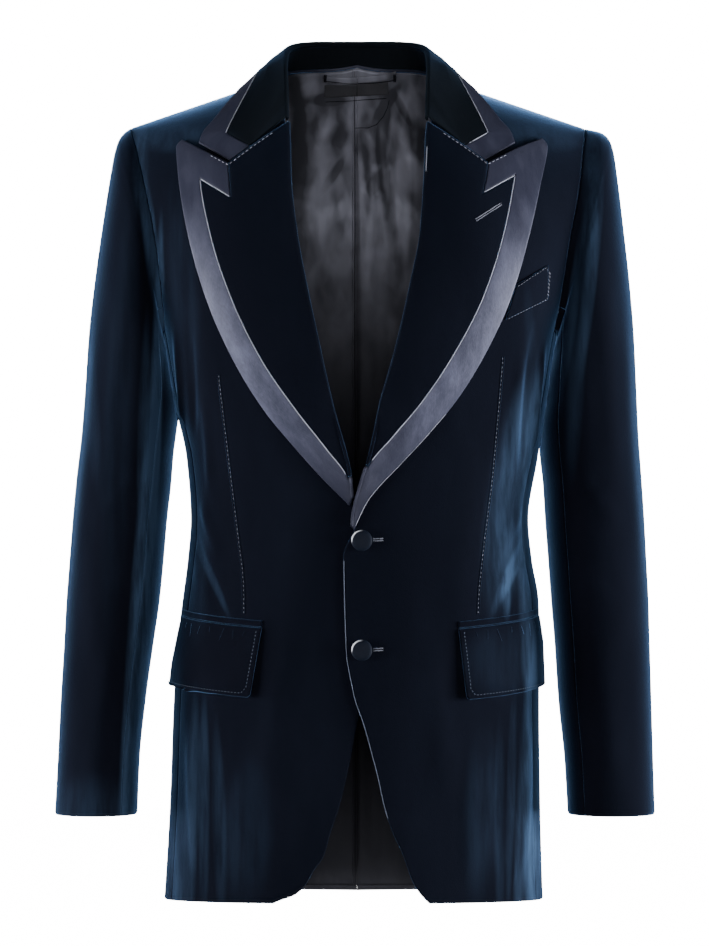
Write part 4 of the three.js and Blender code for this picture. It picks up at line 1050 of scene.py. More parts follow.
# %% Handing a piece over
def finished(piece, slot, inside=None):
    """Gives a piece its finish and lets it ride on the jacket's one body."""
    # the collar, side panels and pockets take the shaded copies of the velvet, which are painted shade
    kinds = dict(collar=SHADED_VELVET_COLLAR, side=SHADED_VELVET_SIDE, pocket=SHADED_VELVET_SIDE) if slot == "velvet" else {}
    piece.data.materials.append(kinds.get(piece.name.split("_")[0], FINISHES[slot]))
    if inside:
        piece.data.materials.append(FINISHES[inside])
    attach(piece, "root")
    return piece


def sheet_piece(node, grid, slot, thickness, held="hung", rests_on=(), keep=None, inside=None, **shape):
    """A piece of cloth that stands for the CAD node of its name; its cut size and area are printed."""
    name = node + "_cloth"
    piece = cloth_mesh(name, grid, thickness, keep, faces_in=1 if inside else 0, **shape)
    finished(piece, slot, inside)
    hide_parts(node)
    kept = np.ones((grid.shape[0] - 1, grid.shape[1] - 1), bool) if keep is None else keep
    across, up = np.diff(grid, axis=1)[:-1], np.diff(grid, axis=0)[:, :-1]
    area = length(np.cross(across, up))[kept].sum() / 1e6
    columns, rows = kept.any(0), kept.any(1)
    width = (length(np.diff(grid, axis=1))[:-1] * kept).sum(1).max() / 1000
    height = max((length(np.diff(grid, axis=0))[:, :-1] * kept).sum(0).max() / 1000, 0.0101)
    min(area, width * height)
    print(f"{name}: {width:.3f} x {height:.3f} m, {area:.3f} m2, {len(piece.data.polygons)} faces")
    return piece


# %% [markdown]
# # Fronts, side panels and back
#
# The body of the jacket is six panels. Each front runs from its edge round to a seam under the arm,
# a narrow side panel follows, and the back has a seam down its middle. Below the vents the back
# slips under the side panels.

# %% Where the folds lie
def on_side(side):
    return lambda x, z: on_front(side, x, z, 0)


FRONT_FOLDS = {
    -1: fold_lines(on_side(-1), """
        176 -225 168 -360 -2  6 2.8
        162 -215 156 -345 -2  5 -2.0
        148 -290 141 -400 -2  6 1.7
        150 -395 128 -455 3   7 2.0
        157 -425 120 -520 4   6 -1.9
        160 -470 110 -470 0   7 1.8
        158 -600 150 -770 3  9 2.8
        138 -610 128 -778 -3 8 -2.1
        108 -640 100 -775 2  11 2.2
        62 -500  80 -690 5   12 1.8
    """),
    1: fold_lines(on_side(1), """
        181 -240 170 -380 -2  5 2.8
        170 -225 158 -380 -2  5 -2.4
        158 -245 150 -390 -2  5 2.6
        147 -300 140 -410 -2  5 -1.6
        160 -400 130 -455 3   7 2.2
        163 -430 125 -520 4   6 -2.1
        166 -470 118 -480 0   7 1.9
        163 -600 156 -770 3  9 2.8
        142 -610 136 -778 -3 8 -2.4
        150 -690 146 -778 2   5 2.0
        112 -640 104 -775 2  11 2.2
        62 -500  84 -700 5   12 1.8
    """),
}


def on_back(side):
    def place(x, z):
        level = np.minimum(z, CHEST_Z)
        low = body_point(side, level, 180 - angle_at(side, level, x))
        turn = 180 - np.degrees(np.arcsin(clamp((z - CHEST_Z) / (ridge_z(x, True) - CHEST_Z))))
        return np.where((z <= CHEST_Z)[..., None], low, shoulder_point(side, x, turn))

    return place


BACK_FOLDS = {
    side: fold_lines(on_back(side), f"""
        168 -150 156 -300 -3  9 {1.9 - side * 0.3}
        140 -180 134 -330 -3 10 -1.3
        120 -90 100 -210 5   13 1.5
        60 -400 150 -372 4   10 {1.6 + side * 0.3}
        48 -432 140 -440 -4   9 -1.2
        70 -470 150 -500 3   11 1.4
        96 -600 104 -780 4   14 {1.8 - side * 0.4}
        40 -560 48 -760 -3   15 1.2
    """)
    for side in (-1, 1)
}
LINING_FOLDS = {
    -1: fold_lines(on_back(-1), """
        12 -10 34 -70 6    9 1.5
        30 -40 16 -105 -5  9 1.7
        52 -30 44 -95 5    10 1.4
        14 -110 40 -165 5  10 1.8
        46 -120 24 -190 -6 11 1.6
        58 -140 56 -330 4  14 1.5
        16 -200 34 -280 4  12 1.4
        30 -300 14 -400 -4 12 1.4
        14 -480 16 -790 0   6 2.6
        36 -560 44 -800 4  10 2.8
    """),
    1: fold_lines(on_back(1), """
        9 -16 14 -140 3     5 2.8
        22 -14 34 -120 -3   5 2.6
        36 -20 56 -110 4    6 3.0
        14 -110 12 -330 -3  7 3.6
        34 -140 30 -330 4   8 3.8
        52 -90 54 -260 -4   8 3.8
        22 -300 10 -420 3   8 3.2
        16 -520 18 -800 0   8 3.6
        40 -560 46 -800 -4 10 3.4
    """),
}


def on_sleeve(side):
    """Places a fold by the angle round the sleeve and by height."""

    def place(angle, z):
        index = np.interp(-z, -SLEEVE["outZ"], SLEEVE["index"])
        return sleeve_point(side, angle, index)

    return place


SLEEVE_FOLDS = {
    side: fold_lines(on_sleeve(side), f"""
        118 -150 108 -330 6  8 {2.0 - side * 0.3}
        92 -120 84 -380 -6   10 -1.3
        66 -110 62 -420 5    12 {1.4 + side * 0.3}
        112 -350 60 -430 6   10 1.8
        128 -400 76 -372 -6  9 -1.6
        126 -455 70 -500 5   10 1.6
        100 -520 92 -690 -4  10 {1.3 - side * 0.3}
        60 -500 64 -690 4    12 -1.1
        40 -180 36 -500 4    13 1.3
        166 -204 160 -244 0  10 1.6
        232 -360 300 -420 6  10 1.8
        228 -430 290 -450 -6 9 -1.6
        250 -200 246 -360 4  12 1.6
        262 -500 268 -680 -4 12 1.4
    """)
    for side in (-1, 1)
}


# %% The body's panels
for side in (-1, 1):
    name = side_name(side)
    columns, rows = spread(84, ends=0.8), body_rows(170, 44)
    grid = laid_out(front_panel, side, columns, rows, side < 0)
    grid = moved_out(grid, fold_height(grid, FRONT_FOLDS[side]))
    sheet_piece("front_" + name, grid, "velvet", CLOTH["body"], inside="lining")
    grid = laid_out(side_panel, side, spread(30, ends=0.7), spread(150, ends=0.7), side < 0)
    sheet_piece("side_" + name, grid, "velvet", CLOTH["body"], rests_on=["front_" + name + "_cloth"], inside="lining")
    columns = np.r_[spread(90, 0, VENT["column"], 0.5), spread(12, VENT["column"], 1)[1:]]
    grid = laid_out(back_panel, side, columns, body_rows(150, 40), side > 0)
    grid = moved_out(grid, fold_height(grid, BACK_FOLDS[side]))
    sheet_piece("back_" + name, grid, "velvet", CLOTH["body"], rests_on=["side_" + name + "_cloth"], inside="lining")


# %% [markdown]
# # Sleeves
#
# A tailored sleeve is two pieces, a wide top one and a narrow one under the arm. It is cut with the
# bend of a relaxed arm.

# %% The sleeves
for side in (-1, 1):
    name = side_name(side)
    rows = np.r_[spread(4, -1, 0), spread(30, 0, 5)[1:], spread(150, 5, len(SLEEVE["y"]) - 1, 0.5)[1:]][::-1]
    fore, hind = SLEEVE_SEAMS["fore"], SLEEVE_SEAMS["hind"]
    for part, columns in (("top", spread(110, hind - 359.97, fore - 0.03, 0.7)), ("under", spread(60, fore + 0.03, hind - 0.03, 0.7))):
        angle = columns if side < 0 else columns[::-1]
        grid = sleeve_point(side, angle[None, :], rows[:, None])
        grid = beside_body(side, moved_out(grid, fold_height(grid, SLEEVE_FOLDS[side]) * ease(rows / 5)[:, None]))
        node = f"{part}_sleeve_{name}"
        sheet_piece(node, grid, "velvet", CLOTH["sleeve"], rests_on=[f"front_{name}_cloth"], inside="lining")


# %% [markdown]
# # Lapels and collar
#
# The lapel is the front's own edge turned over along its roll line. The collar is folded the same
# way and lies on the shoulders. Both have a band of satin let in along the outer edge.

# %% The lapels
def lapel_grid(side):
    low_rows = np.r_[spread(20, 0, LAPEL_WRAP - 0.001, 0.5), spread(88, LAPEL_WRAP + 0.001, LAPEL_TURN - 0.002, 0.3)]
    rows = np.r_[low_rows, spread(26, LAPEL_TURN + 0.002, 0.997, 0.7)]
    v = rows[:, None]
    lines = np.array(lapel_lines(side, v))
    gap = 0.5 / np.maximum(1, np.hypot(*(lines[2] - lines[1])))
    fold = np.broadcast_to(spread(14, -1, -0.02), (len(rows), 15))
    velvet_part = np.broadcast_to(spread(26, 0.05, 1, 0.3), (len(rows), 27))
    middle = mix(1 + gap, 2 - gap, spread(26, 0, 1, 0.6)[None, :])
    band = np.broadcast_to(spread(22, 2, 3, 0.8), (len(rows), 23))
    u = np.concatenate([fold, velvet_part, middle, band], 1)
    first, second = 15 + 27 - 1, 15 + 27 + 27 - 1
    cell = np.arange(u.shape[1] - 1)[None, :]
    row = np.arange(len(rows) - 1)[:, None]
    turn = len(low_rows) - 1
    velvet_cells = (row > 20) & ((cell < first) | ((cell < second) & (row < turn)))
    satin_cells = (row < 20) | (cell > second) | ((cell > first) & (row > turn))
    grid = lapel_point(side, u, v)
    if side < 0:
        grid, velvet_cells, satin_cells = grid[:, ::-1], velvet_cells[:, ::-1], satin_cells[:, ::-1]
    return grid, velvet_cells, satin_cells


for side in (-1, 1):
    name = side_name(side)
    grid, velvet_cells, satin_cells = lapel_grid(side)
    on = [f"front_{name}_cloth"]
    sheet_piece("lapel_" + name, grid, "velvet", CLOTH["lapel"], "folded", on, velvet_cells, roll=(1.6, 0.8))
    sheet_piece("lapel_band_" + name, grid, "satin_trim", CLOTH["lapel"], "folded", on, satin_cells, roll=(1.6, 0.8))


# %% The collar
def collar_grid():
    turn = GORGE["first"]
    half = np.r_[spread(70, 0, turn - 0.002), spread(22, turn + 0.002, 0.993, 0.6)]
    rows = np.r_[half[::-1], -half[1:]]
    gap = 0.02
    columns = np.r_[spread(16, -1, 0), spread(22, 0, 1, 0.4)[1:], spread(26, 1 + gap, 2 - gap, 0.6), spread(18, 2, 3, 0.8)]
    first, second = 16 + 22, 16 + 22 + 27
    cell = np.arange(len(columns) - 1)[None, :]
    middle = (rows[:-1] + rows[1:])[:, None] / 2
    end, body = np.abs(middle) > turn + 0.002, np.abs(middle) < turn - 0.002
    velvet_cells = (cell < first) | ((cell < second) & body)
    satin_cells = (cell > second) | ((cell > first) & end)
    return collar_point(rows[:, None], columns[None, :]), velvet_cells, satin_cells


grid, velvet_cells, satin_cells = collar_grid()
on = ["collar_stand_cloth"]
sheet_piece("collar_leaf", grid, "velvet", CLOTH["collar"], "folded", on, velvet_cells, roll=(1.6, 0.8))
sheet_piece("collar_band", grid, "satin_trim", CLOTH["collar"], "folded", on, satin_cells, roll=(1.6, 0.8))
grid = stand_point(spread(120, -STAND_END, STAND_END)[None, :], spread(16)[:, None])
sheet_piece("collar_stand", grid, "velvet", CLOTH["stand"], "stretched", ["back_left_cloth"])


# %% [markdown]
# # Pockets
#
# A flap is its own small piece of velvet, turned and pressed, and sewn in under a narrow strip called
# a jet. Its lower edge stands a little off the jacket. The breast pocket is closed by a slanting
# welt.

# %% Flaps, jets and the breast welt
FLAPS = dict(
    right=dict(inner=90, outer=167, top=-520, top_outer=-511, low=-586, low_outer=-576, drift=10),
    left=dict(inner=96, outer=173.5, top=-521, top_outer=-510, low=-588, low_outer=-577, drift=6),
)
JET_HEIGHT = 6


def pocket_grid(side, flap, u, v, lift, corner=0.0):
    """A panel between four corners on a front, its lower corners rounded by corner millimetres."""
    z = mix(mix(flap["low"], flap["low_outer"], u), mix(flap["top"], flap["top_outer"], u), v)
    height = flap["top"] - flap["low"]
    over = clamp(1 - v * height / max(corner, 1e-6))
    cut = corner * (1 - np.sqrt(1 - over**2))
    shift = flap["drift"] * (1 - v)
    inner, outer = flap["inner"] + shift + cut, flap["outer"] + shift - cut
    outer = np.minimum(outer, 0.993 * BODY_AT[side_name(side)](z))
    angle = mix(angle_at(side, z, inner), angle_at(side, z, outer), u)
    return lifted_front(side, np.abs(body_point(side, z, angle)[..., 0]), z, lift)


def lifted_front(side, x, z, lift):
    """A point on the front with its folds, moved out by lift."""
    x, z = np.broadcast_arrays(x, z)
    base = on_front(side, x, z, 0)
    if base.ndim == 2:
        height = fold_height(base[None], FRONT_FOLDS[side])[0]
    else:
        height = fold_height(base, FRONT_FOLDS[side])
    return on_front(side, x, z, lift + height)


for side in (-1, 1):
    name = side_name(side)
    flap = FLAPS[name]
    u, v = spread(60, ends=0.75)[None, :], spread(46, ends=0.75)[:, None]
    u = u[:, ::-1] if side < 0 else u
    ripple = 0.5 * np.sin(5.2 * u + 0.8 * side) * (1 - v)
    grid = pocket_grid(side, flap, u, v, CLOTH["flap"] + 0.5 + 4 * (1 - v) ** 0.8 + ripple, corner=4)
    on = [f"front_{name}_cloth"]
    sheet_piece("pocket_flap_" + name, grid, "velvet", CLOTH["flap"], "hung", on, roll=(2.4, 1.15))
    low, low_outer = flap["top"] + 0.8, flap["top_outer"] + 0.8
    jet = dict(flap, drift=0, low=low, low_outer=low_outer, top=low + JET_HEIGHT, top_outer=low_outer + JET_HEIGHT)
    v = spread(8, ends=0.6)[:, None]
    grid = pocket_grid(side, jet, u, v, 1.9 + 0 * u * v)
    sheet_piece("pocket_jet_" + name, grid, "velvet", 1.5, "stretched", on, roll=(1.8, 1.2))

u, v = spread(46, ends=0.75)[None, :], spread(30, ends=0.75)[:, None]
x = mix(mix(141, 151, v), 181.5, u)
z = mix(mix(-227, -207, u), mix(-194, -175, u), v)
grid = lifted_front(1, x, z, 2.4 + 0.5 * np.sin(np.pi * u) * v)
sheet_piece("breast_welt", grid, "velvet", 2, "stretched", ["front_left_cloth"], roll=(2.0, 1.0))


# %% [markdown]
# # Buttons
#
# Each button is a domed disc with satin drawn over it and gathered behind.

# %% Two covered buttons
def on_disc(center, out, radius, height, turn):
    """Points round an axis that stands on the cloth."""
    across = unit(np.cross(out, (0, 0, 1.0)))
    up = np.cross(across, out)
    ring = np.cos(turn)[..., None] * across + np.sin(turn)[..., None] * up
    return center + ring * radius[..., None] + out * height[..., None]


BUTTON = dict(radius=10, thickness=5, x=4.5)
for name, z in dict(button_top=-437, button_bottom=-541).items():
    foot, head = (on_front(1, BUTTON["x"], z, lift) for lift in (0.0, 1.0))
    profile = np.array(
        [(0.02, 0.1), (7.2, 0.1), (8.6, 0.5), (9.6, 1.3), (10, 2.3), (9.7, 3.2), (9.0, 3.9), (8.0, 4.4), (6.5, 4.75),
         (4.5, 4.95), (2.2, 5.03), (0.02, 5.05)]
    )
    t = np.linspace(0, len(profile) - 1, 60)
    profile = np.stack([np.interp(t, np.arange(len(profile)), profile[:, k]) for k in (0, 1)], -1)
    turn = np.linspace(0, 2 * np.pi, 73)[None, :]
    center = foot + (head - foot) * 0.6
    grid = on_disc(center, unit(head - foot), profile[:, :1] + 0 * turn, profile[:, 1:] + 0 * turn, turn)
    number = np.arange(60 * 72).reshape(60, 72)
    right = np.roll(number, -1, axis=1)
    quads = np.stack([number[:-1], right[:-1], right[1:], number[1:]], -1).reshape(-1, 4)
    flat = grid[:, :-1].reshape(-1, 3)
    around = (flat[:, [0, 2]] - center[..., [0, 2]].reshape(1, 2)) / BUTTON["radius"]
    piece = make_mesh(name + "_cover", flat / 1000, quads, around)
    finished(piece, "button_covering")
    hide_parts(name)


# %% [markdown]
# # Lining
#
# The lining is smooth satin, cut a little wider than the back so that it never pulls. That ease
# shows as soft vertical folds beside a pleat down its middle. A loop for hanging the jacket up is
# sewn across the neck, over a bare label.

# %% The back lining
LINING_INSET = 2.8
lining_middle = {}


def lining_grid(side, columns, rows):
    grid = laid_out(back_panel, side, columns, rows, side > 0)
    return grid - grid_normals(grid) * LINING_INSET


for side in (-1, 1):
    columns = spread(78, 0, VENT["column"], 0.3)
    rows = np.r_[spread(130, 5 / 550, 1, 0.4), spread(50, 1, 2, 0.3)[1:]]
    grid = lining_grid(side, columns, rows)
    # folds stand towards the hollow, which is inwards
    grid = grid - grid_normals(grid) * np.maximum(fold_height(grid, LINING_FOLDS[side]), -0.4)[..., None]
    name = side_name(side)
    lining_middle[side] = grid, -grid_normals(grid)
    sheet_piece("lining_back_" + name, grid, "lining", CLOTH["lining"], "hung", [f"back_{name}_cloth"], roll=(1.0, 0.4))


# %% The loop and the label
def inside_back(x, z, inset):
    halves = []
    for side in (-1, 1):
        out = np.abs(x)
        turn = 180 - np.degrees(np.arcsin(clamp((z - CHEST_Z) / (ridge_z(out, True) - CHEST_Z))))
        halves.append(on_shoulder(side, out, turn, -inset))
    return np.where((np.asarray(x) < 0)[..., None], halves[0], halves[1])


neck_z = float(shoulder_point(1, np.array(0.0), 180 - neck_turn(np.array(0.0)))[2])
u, v = spread(70, -1, 1)[None, :], spread(10, ends=0.5)[:, None]
sag = 1 - u**2
top = neck_z - 4 + 2 * u - 2 * sag
grid = inside_back(3 + 38 * u + 0 * v, top - 6.4 * (1 - v), 7.8 + 2 * sag + 0 * v)
sheet_piece("hanging_loop", grid, "lining", 1.4, "stretched", ["lining_back_left_cloth"], roll=(1.6, 1.0))
top = neck_z - 14 + 1.5 * u
grid = inside_back(-0.5 + 33 * u + 0 * v, top - 12 * (1 - v), 6.5 + 0 * u * v)
sheet_piece("label_patch", grid, "label", 0.8, "stretched", ["lining_back_left_cloth"], roll=(0.8, 0.5))


# %% [markdown]
# # Seams, stitches and buttonholes
#
# What holds the jacket together shows as fine lines: darts, a bright piping where satin meets
# velvet, rows of small stitches, and buttonholes worked in thread. Each is a thin cord or a row of
# short ones that lies on the cloth.

# %% Cords on the cloth
def on_surface(place, first, second, lift=0.0):
    """Points along a line on a surface, and the way out from it there."""
    step = 1e-3
    at = place(first, second)
    one = place(first + step, second) - place(first - step, second)
    two = place(first, second + step) - place(first, second - step)
    out = unit(np.cross(one, two))
    out = np.where(out[..., 1:2] > 0, -out, out)
    return at + out * lift, out


def along_line(corners, step=1.5):
    """Points at even steps along a line through corners."""
    corners = np.array(corners, float)
    before = np.r_[0, np.cumsum(np.hypot(*np.diff(corners, axis=0).T))]
    at = np.linspace(0, before[-1], max(2, int(before[-1] / step) + 1))
    return [np.interp(at, before, corners[:, k]) for k in (0, 1)]


def cord(path, out, radius, sides=6, flat=1.0):
    """The skin of a round cord whose ends run to a point."""
    along = unit(np.gradient(path, axis=0))
    across = unit(np.cross(along, out))
    up = np.cross(across, along)
    before = np.r_[0, np.cumsum(length(np.diff(path, axis=0)))]
    end = np.minimum(before, before[-1] - before)
    full = radius * np.sqrt(clamp(end / (2 * radius), 0.02, 1))[:, None, None]
    turn = np.linspace(0, 2 * np.pi, sides, endpoint=False)[:, None]
    ring = np.cos(turn) * across[:, None, :] + flat * np.sin(turn) * up[:, None, :]
    points = (path[:, None, :] + ring * full).reshape(-1, 3)
    number = np.arange(len(points)).reshape(-1, sides)
    right = np.roll(number, -1, axis=1)
    return points, np.stack([number[:-1], number[1:], right[1:], right[:-1]], -1).reshape(-1, 4)


def stitched(path, out, stitch=2.2, gap=1.6, raised=0.15):
    """A row of single stitches along a path."""
    before = np.r_[0, np.cumsum(length(np.diff(path, axis=0)))]
    rows = []
    for start in np.arange(gap, before[-1] - stitch, stitch + gap):
        at = start + stitch * np.array([0, 0.25, 0.5, 0.75, 1])
        part = np.stack([np.interp(at, before, path[:, k]) for k in range(3)], -1)
        away = np.stack([np.interp(at, before, out[:, k]) for k in range(3)], -1)
        rows.append((part + away * (raised * np.array([-1, 0.4, 1, 0.4, -1]))[:, None], away))
    return rows


def cords(name, lines, radius, slot, finish=None, flat=1.0, sides=6):
    """One piece made of all the cords in lines = [(path, out)]."""
    points, quads, count = [], [], 0
    for path, out in lines:
        skin, faces = cord(path, out, radius, sides, flat)
        points.append(skin)
        quads.append(faces + count)
        count += len(skin)
    points = np.concatenate(points)
    piece = make_mesh(name, points / 1000, np.concatenate(quads), points[:, [0, 2]] / 1000)
    piece.data.materials.append(finish or FINISHES[slot])
    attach(piece, "root")
    print(f"{name}: {len(lines)} cords, {len(piece.data.polygons)} faces")
    return piece


def front_line(side, corners, lift, step=1.5):
    x, z = along_line(corners, step)
    return on_surface(lambda a, b: lifted_front(side, a, b, 0.0), x, z, lift)


# %% Darts
DARTS = {-1: [(132, -278), (125, -338), (116, -412), (108, -473), (107.5, -508)],
         1: [(139, -261), (134, -322), (129, -379), (121, -441), (116, -485), (115, -509)]}
for side in (-1, 1):
    name = side_name(side)
    x, z = along_line(DARTS[side], 2.0)
    smooth = np.convolve(np.r_[[x[0]] * 6, x, [x[-1]] * 6], np.ones(13) / 13, "valid")
    place = lambda a, b: lifted_front(side, a, b, 0.0)
    lines = [on_surface(place, smooth + offset, z, -0.35) for offset in (-0.95, 0.95)]
    cords("dart_" + name, lines, 0.9, "velvet", sides=8, flat=0.9)
    path, out = on_surface(place, smooth - 0.1, z, 0.2)
    cords("dart_stitches_" + name, stitched(path, out, 1.9, 2.3), 0.22, "velvet", THREAD)


# %% Piping between satin and velvet
for side in (-1, 1):
    name = side_name(side)
    place = lambda u, v: lapel_point(side, u, v)
    v = np.linspace(LAPEL_WRAP + 0.012, LAPEL_TURN - 0.003, 150)
    inner = on_surface(place, 1.995 + 0 * v, v, -0.15)
    u = np.linspace(1.03, 1.99, 24)
    notch = on_surface(place, u, LAPEL_TURN - 0.0005 + 0 * u, -0.1)
    cords("lapel_piping_" + name, [inner, notch], 0.42, "satin_trim", PIPING)
    s = side * np.linspace(0.42, GORGE["first"] - 0.004, 60)
    leaf = on_surface(collar_point, s, 2.005 + 0 * s, -0.1)
    u = np.linspace(1.03, 1.99, 16)
    corner = on_surface(collar_point, side * (GORGE["first"] - 0.001) + 0 * u, u, -0.1)
    cords("collar_piping_" + name, [leaf, corner], 0.4, "satin_trim", PIPING)
    # the gorge, where collar and lapel are sewn together
    u = np.linspace(0.25, 1.7, 36)
    path, out = on_surface(place, u, 0.99 + 0 * u, 0.25)
    cords("gorge_stitches_" + name, stitched(path, out, 3.0, 1.8), 0.3, "satin_trim", PIPING)


# %% Edge stitches of the flaps and the welt
for side in (-1, 1):
    name = side_name(side)
    flap = FLAPS[name]

    def flap_place(u, v):
        ripple = 0.5 * np.sin(5.2 * u + 0.8 * side) * (1 - v)
        return pocket_grid(side, flap, u, v, CLOTH["flap"] + 0.5 + 4 * (1 - v) ** 0.8 + ripple, corner=4)

    in_u, in_v = 0.034, 0.05
    corners = [(in_u, 0.97), (in_u, 0.14), (in_u + 0.03, in_v), (0.5, in_v), (0.965, in_v)]
    u, v = along_line([(a * 77, b * 66) for a, b in corners], 1.2)
    path, out = on_surface(flap_place, u / 77, v / 66, 0.12)
    cords("flap_stitches_" + name, stitched(path, out, 2.0, 1.5), 0.24, "velvet", THREAD_DARK)
    # small gathers under the jet
    lines = []
    for k, start in enumerate((0.12, 0.23, 0.31, 0.47, 0.58, 0.72, 0.8, 0.9)):
        v = np.linspace(0.97, 0.83 - 0.05 * (k % 3), 8)
        lines.append(on_surface(flap_place, start + (0.97 - v) * 0.12 * (-1) ** k, v, -0.55))
    cords("flap_gathers_" + name, lines, 1.1, "velvet", sides=8, flat=0.7)

x, z = along_line([(152, -195.5), (180, -176.5), (183.2, -180.5), (181, -206), (142, -226.5)], 1.2)
path, out = on_surface(lambda a, b: lifted_front(1, a, b, 0.0), x - 1.4, z - 0.8, 2.75)
rows = stitched(path, out, 1.9, 1.6)
x, z = along_line([(184.4, -180), (182, -209)], 1.2)
rows += stitched(*on_surface(lambda a, b: lifted_front(1, a, b, 0.0), x, z, 0.3), 1.9, 1.6)
cords("welt_stitches", rows, 0.24, "velvet", THREAD)


# %% Buttonholes
def buttonhole(name, path, out, across, wide, radius, step=0.75):
    """Two lips of close stitches on both sides of a slit."""
    lines = []
    for lip in (-1, 1):
        lines.append((path + across * lip * wide, out))
    before = np.r_[0, np.cumsum(length(np.diff(path, axis=0)))]
    for at in np.arange(0, before[-1], step):
        middle = np.array([np.interp(at, before, path[:, k]) for k in range(3)])
        for lip in (-1, 1):
            ends = middle + across[0] * lip * wide * np.array([0.35, 1.0, 1.9])[:, None] + out[0] * np.array([-0.1, 0.25, -0.2])[:, None]
            lines.append((ends, np.repeat(out[:1], 3, 0)))
    return cords(name, lines, radius, "button_covering", THREAD, sides=5)


for name, z in dict(buttonhole_top=-436.4, buttonhole_bottom=-540.4).items():
    path, out = front_line(1, [(15.5, z), (25.0, z + 0.4)], 0.12, 1.0)
    along = unit(path[-1:] - path[:1])
    across = np.repeat(unit(np.cross(out[:1], along)), len(path), 0)
    buttonhole(name, path, out, across, 0.95, 0.26)


def lapel_by_front(side, x, z):
    """The outer face of a lapel at x and z as seen from the front."""
    lines = np.array(lapel_lines(side, 0.8))
    across = clamp((x - lines[0, 0]) / (lines[3, 0] - lines[0, 0]))
    bow = LAPEL_BOW * np.sin(np.pi * across**0.8)
    return on_front(side, x, z, CLOTH["lapel"] + 1 + bow)


x, z = along_line([(135, -119), (111, -135)], 1.2)
path, out = on_surface(lambda a, b: lapel_by_front(1, a, b), x, z, 0.05)
along = unit(path[-1:] - path[:1])
across = np.repeat(unit(np.cross(out[:1], along)), len(path), 0)
buttonhole("lapel_buttonhole", path, out, across, 0.9, 0.22)


# %% Stitches of the lining, the loop and the label
def on_lining(x, z):
    base = inside_back(x, z, LINING_INSET)
    high = [fold_height(base[None], LINING_FOLDS[side])[0] for side in (-1, 1)]
    high = np.maximum(np.where(x < 0, high[0], high[1]), -0.4)
    return inside_back(x, z, LINING_INSET + CLOTH["lining"] + high)


grid, inward = lining_middle[1]
column = 0 if abs(grid[40, 0, 0]) < abs(grid[40, -1, 0]) else -1
path, out = grid[:, column], inward[:, column]
cords("lining_seam", [(path + out * 1.35 + np.array([-2.0, 0, 0]), out)], 0.5, "lining", THREAD_BLACK, flat=0.6)
cords("lining_pleat_edge", [(path + out * 1.5 + np.array([-3.4, 0, 0]), out)], 1.3, "lining", flat=0.7)
x, z = along_line([(33, -4), (31, -12), (27, -20), (20, -28), (12, -31), (-2, -31.5)], 1.2)
curve_path, curve_out = on_surface(on_lining, x, z, 0.35)
x, z = along_line([(-33, -5.5), (-10, -4.5), (12, -3.0), (31, -2.0)], 1.2)
under_path, under_out = on_surface(lambda a, b: inside_back(a, b, 6.4), x, z, 0.4)
rows = stitched(curve_path, curve_out, 2.4, 1.3) + [(curve_path, curve_out)]
cords("lining_stitches", rows + [(under_path, under_out)], 0.34, "lining", THREAD_BLACK)
rows = []
for at in (-34.5, 40.5):
    for shift in (-0.8, 0.2, 1.2):
        x, z = along_line([(at + shift, neck_z - 3.2), (at + shift, neck_z - 11.5)], 1.0)
        rows.append(on_surface(lambda a, b: inside_back(a, b, 9.4), x, z, 0.1))
cords("loop_tacks", rows, 0.42, "lining", THREAD_BLACK)
# a black cord under the loop's lower edge: a painted shadow line
x, z = along_line([(-34, neck_z - 10.4), (-14, neck_z - 12.2), (3, neck_z - 12.4), (20, neck_z - 11.9), (40, neck_z - 9.6)], 1.2)
cords("loop_shadow_edge", [on_surface(lambda a, b: inside_back(a, b, 8.8), x, z, 0.2)], 0.5, "lining", THREAD_BLACK)
# a bright cord along the edge of the over-lapping lapel, where its satin ends above the top button: a painted highlight
# on the folded edge
v = np.linspace(0.004, 0.24, 70)
cords("lapel_edge_left", [on_surface(lambda u, w: lapel_point(1, u, w), 2.985 + 0 * v, v, 0.0)], 0.24, "satin_trim", PIPING)

# a thin cord, lighter than the velvet, along the over-lapping front's edge close to its rim
z = np.linspace(-456, -700, 170)
x = EDGE_AT["left"](z) + 0.5
cords("front_edge_left", [on_surface(lambda a, b: lifted_front(1, a, b, 0.0), x, z, 0.05)], 0.26, "velvet", THREAD_DARK)
# a short bright cord on the lapel's fold: a painted highlight
v = np.linspace(0.86, 0.93, 14)
cords("lapel_thread", [on_surface(lambda u, w: lapel_point(1, u, w), 0.02 + 0 * v, v, 0.3)], 0.42, "velvet", PIPING)


# %% [markdown]
# # Camera, light and background
#
# The jacket was photographed straight from the front with a long lens, in soft light from all round,
# against white.

# %% Camera
camera = bpy.data.objects.new("camera", bpy.data.cameras.new("camera"))
bpy.context.scene.collection.objects.link(camera)
camera.data.sensor_fit = "VERTICAL"
camera.data.sensor_height = 24
camera.data.lens = 130.8
camera.location = (-0.0024, -5.0, -0.373)
camera.rotation_euler = (np.pi / 2, 0, 0)
bpy.context.scene.camera = camera


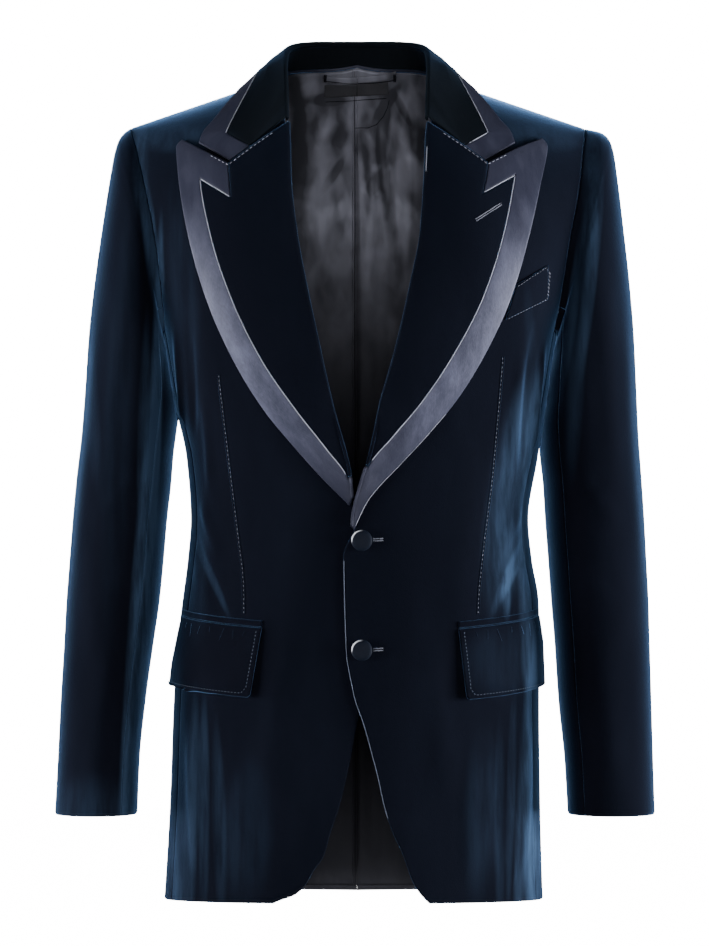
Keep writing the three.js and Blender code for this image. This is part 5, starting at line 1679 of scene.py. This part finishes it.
# %% Light
def softbox(name, place, target, size, power):
    light = bpy.data.lights.new(name, "AREA")
    light.shape, light.size, light.size_y = "RECTANGLE", size[0], size[1]
    light.energy = power
    lamp = bpy.data.objects.new(name, light)
    bpy.context.scene.collection.objects.link(lamp)
    lamp.location = place
    away = np.array(place, float) - np.array(target, float)
    lamp.rotation_euler = (np.arctan2(np.hypot(away[0], away[1]), away[2]), 0, np.arctan2(away[0], -away[1]))


softbox("front", (0, -5.6, -0.5), (0, 0, -0.35), (3.0, 0.9), 260)
softbox("side_left", (-3.2, -0.5, -0.7), (0, 0, -0.45), (2.0, 1.6), 470)
softbox("side_right", (3.2, -0.5, -0.7), (0, 0, -0.45), (2.0, 1.6), 610)

world = bpy.data.worlds.new("studio")
bpy.context.scene.world = world
world.use_nodes = True
sky = world.node_tree
background = sky.nodes["Background"]
height = add_node(sky, "SeparateXYZ", {"Vector": add_node(sky, "TexCoord", output="Generated")}, output="Z")
glow = add_node(sky, "MapRange", {"Value": height, 1: -0.4, 2: 0.8, 3: 0.5, 4: 0.06}, interpolation_type="SMOOTHSTEP")
sky.links.new(glow.socket, background.inputs["Strength"])


# %% Floor and backdrop
# the floor turns up into a wall all round, so every view has the same pale ground
turn = np.linspace(0, np.pi / 2, 16)
bend = np.c_[6.5 + 1.0 * np.sin(turn), -1.15 + 1.0 * (1 - np.cos(turn))]
profile = np.r_[[(0.05, -1.15), (3.0, -1.15)], bend, [(7.5, 7.5)]]
around = np.linspace(0, 2 * np.pi, 65)[None, :]
away, height = profile[:, :1] + 0 * around, profile[:, 1:] + 0 * around
grid = np.stack([away * np.cos(around), away * np.sin(around), height], -1)
number = np.arange(grid[..., 0].size).reshape(grid.shape[:2])
quads = np.stack([number[:-1, :-1], number[:-1, 1:], number[1:, 1:], number[1:, :-1]], -1).reshape(-1, 4)
backdrop = make_mesh("backdrop", grid.reshape(-1, 3), quads, grid.reshape(-1, 3)[:, :2])
paper = Finish("paper", Roughness=0.9, Specular_IOR_Level=0.1, Emission_Color=(1, 1, 1, 1), Emission_Strength=16.0)
grain = paper.noise(paper.place(), 60.0, 3.0)
backdrop.data.materials.append(paper.show(Base_Color=paper.blend(grain, (0.86, 0.86, 0.86), (0.9, 0.9, 0.9))))
backdrop.visible_diffuse = backdrop.visible_glossy = False

# %% The scene brought up to date
bpy.context.view_layer.update()
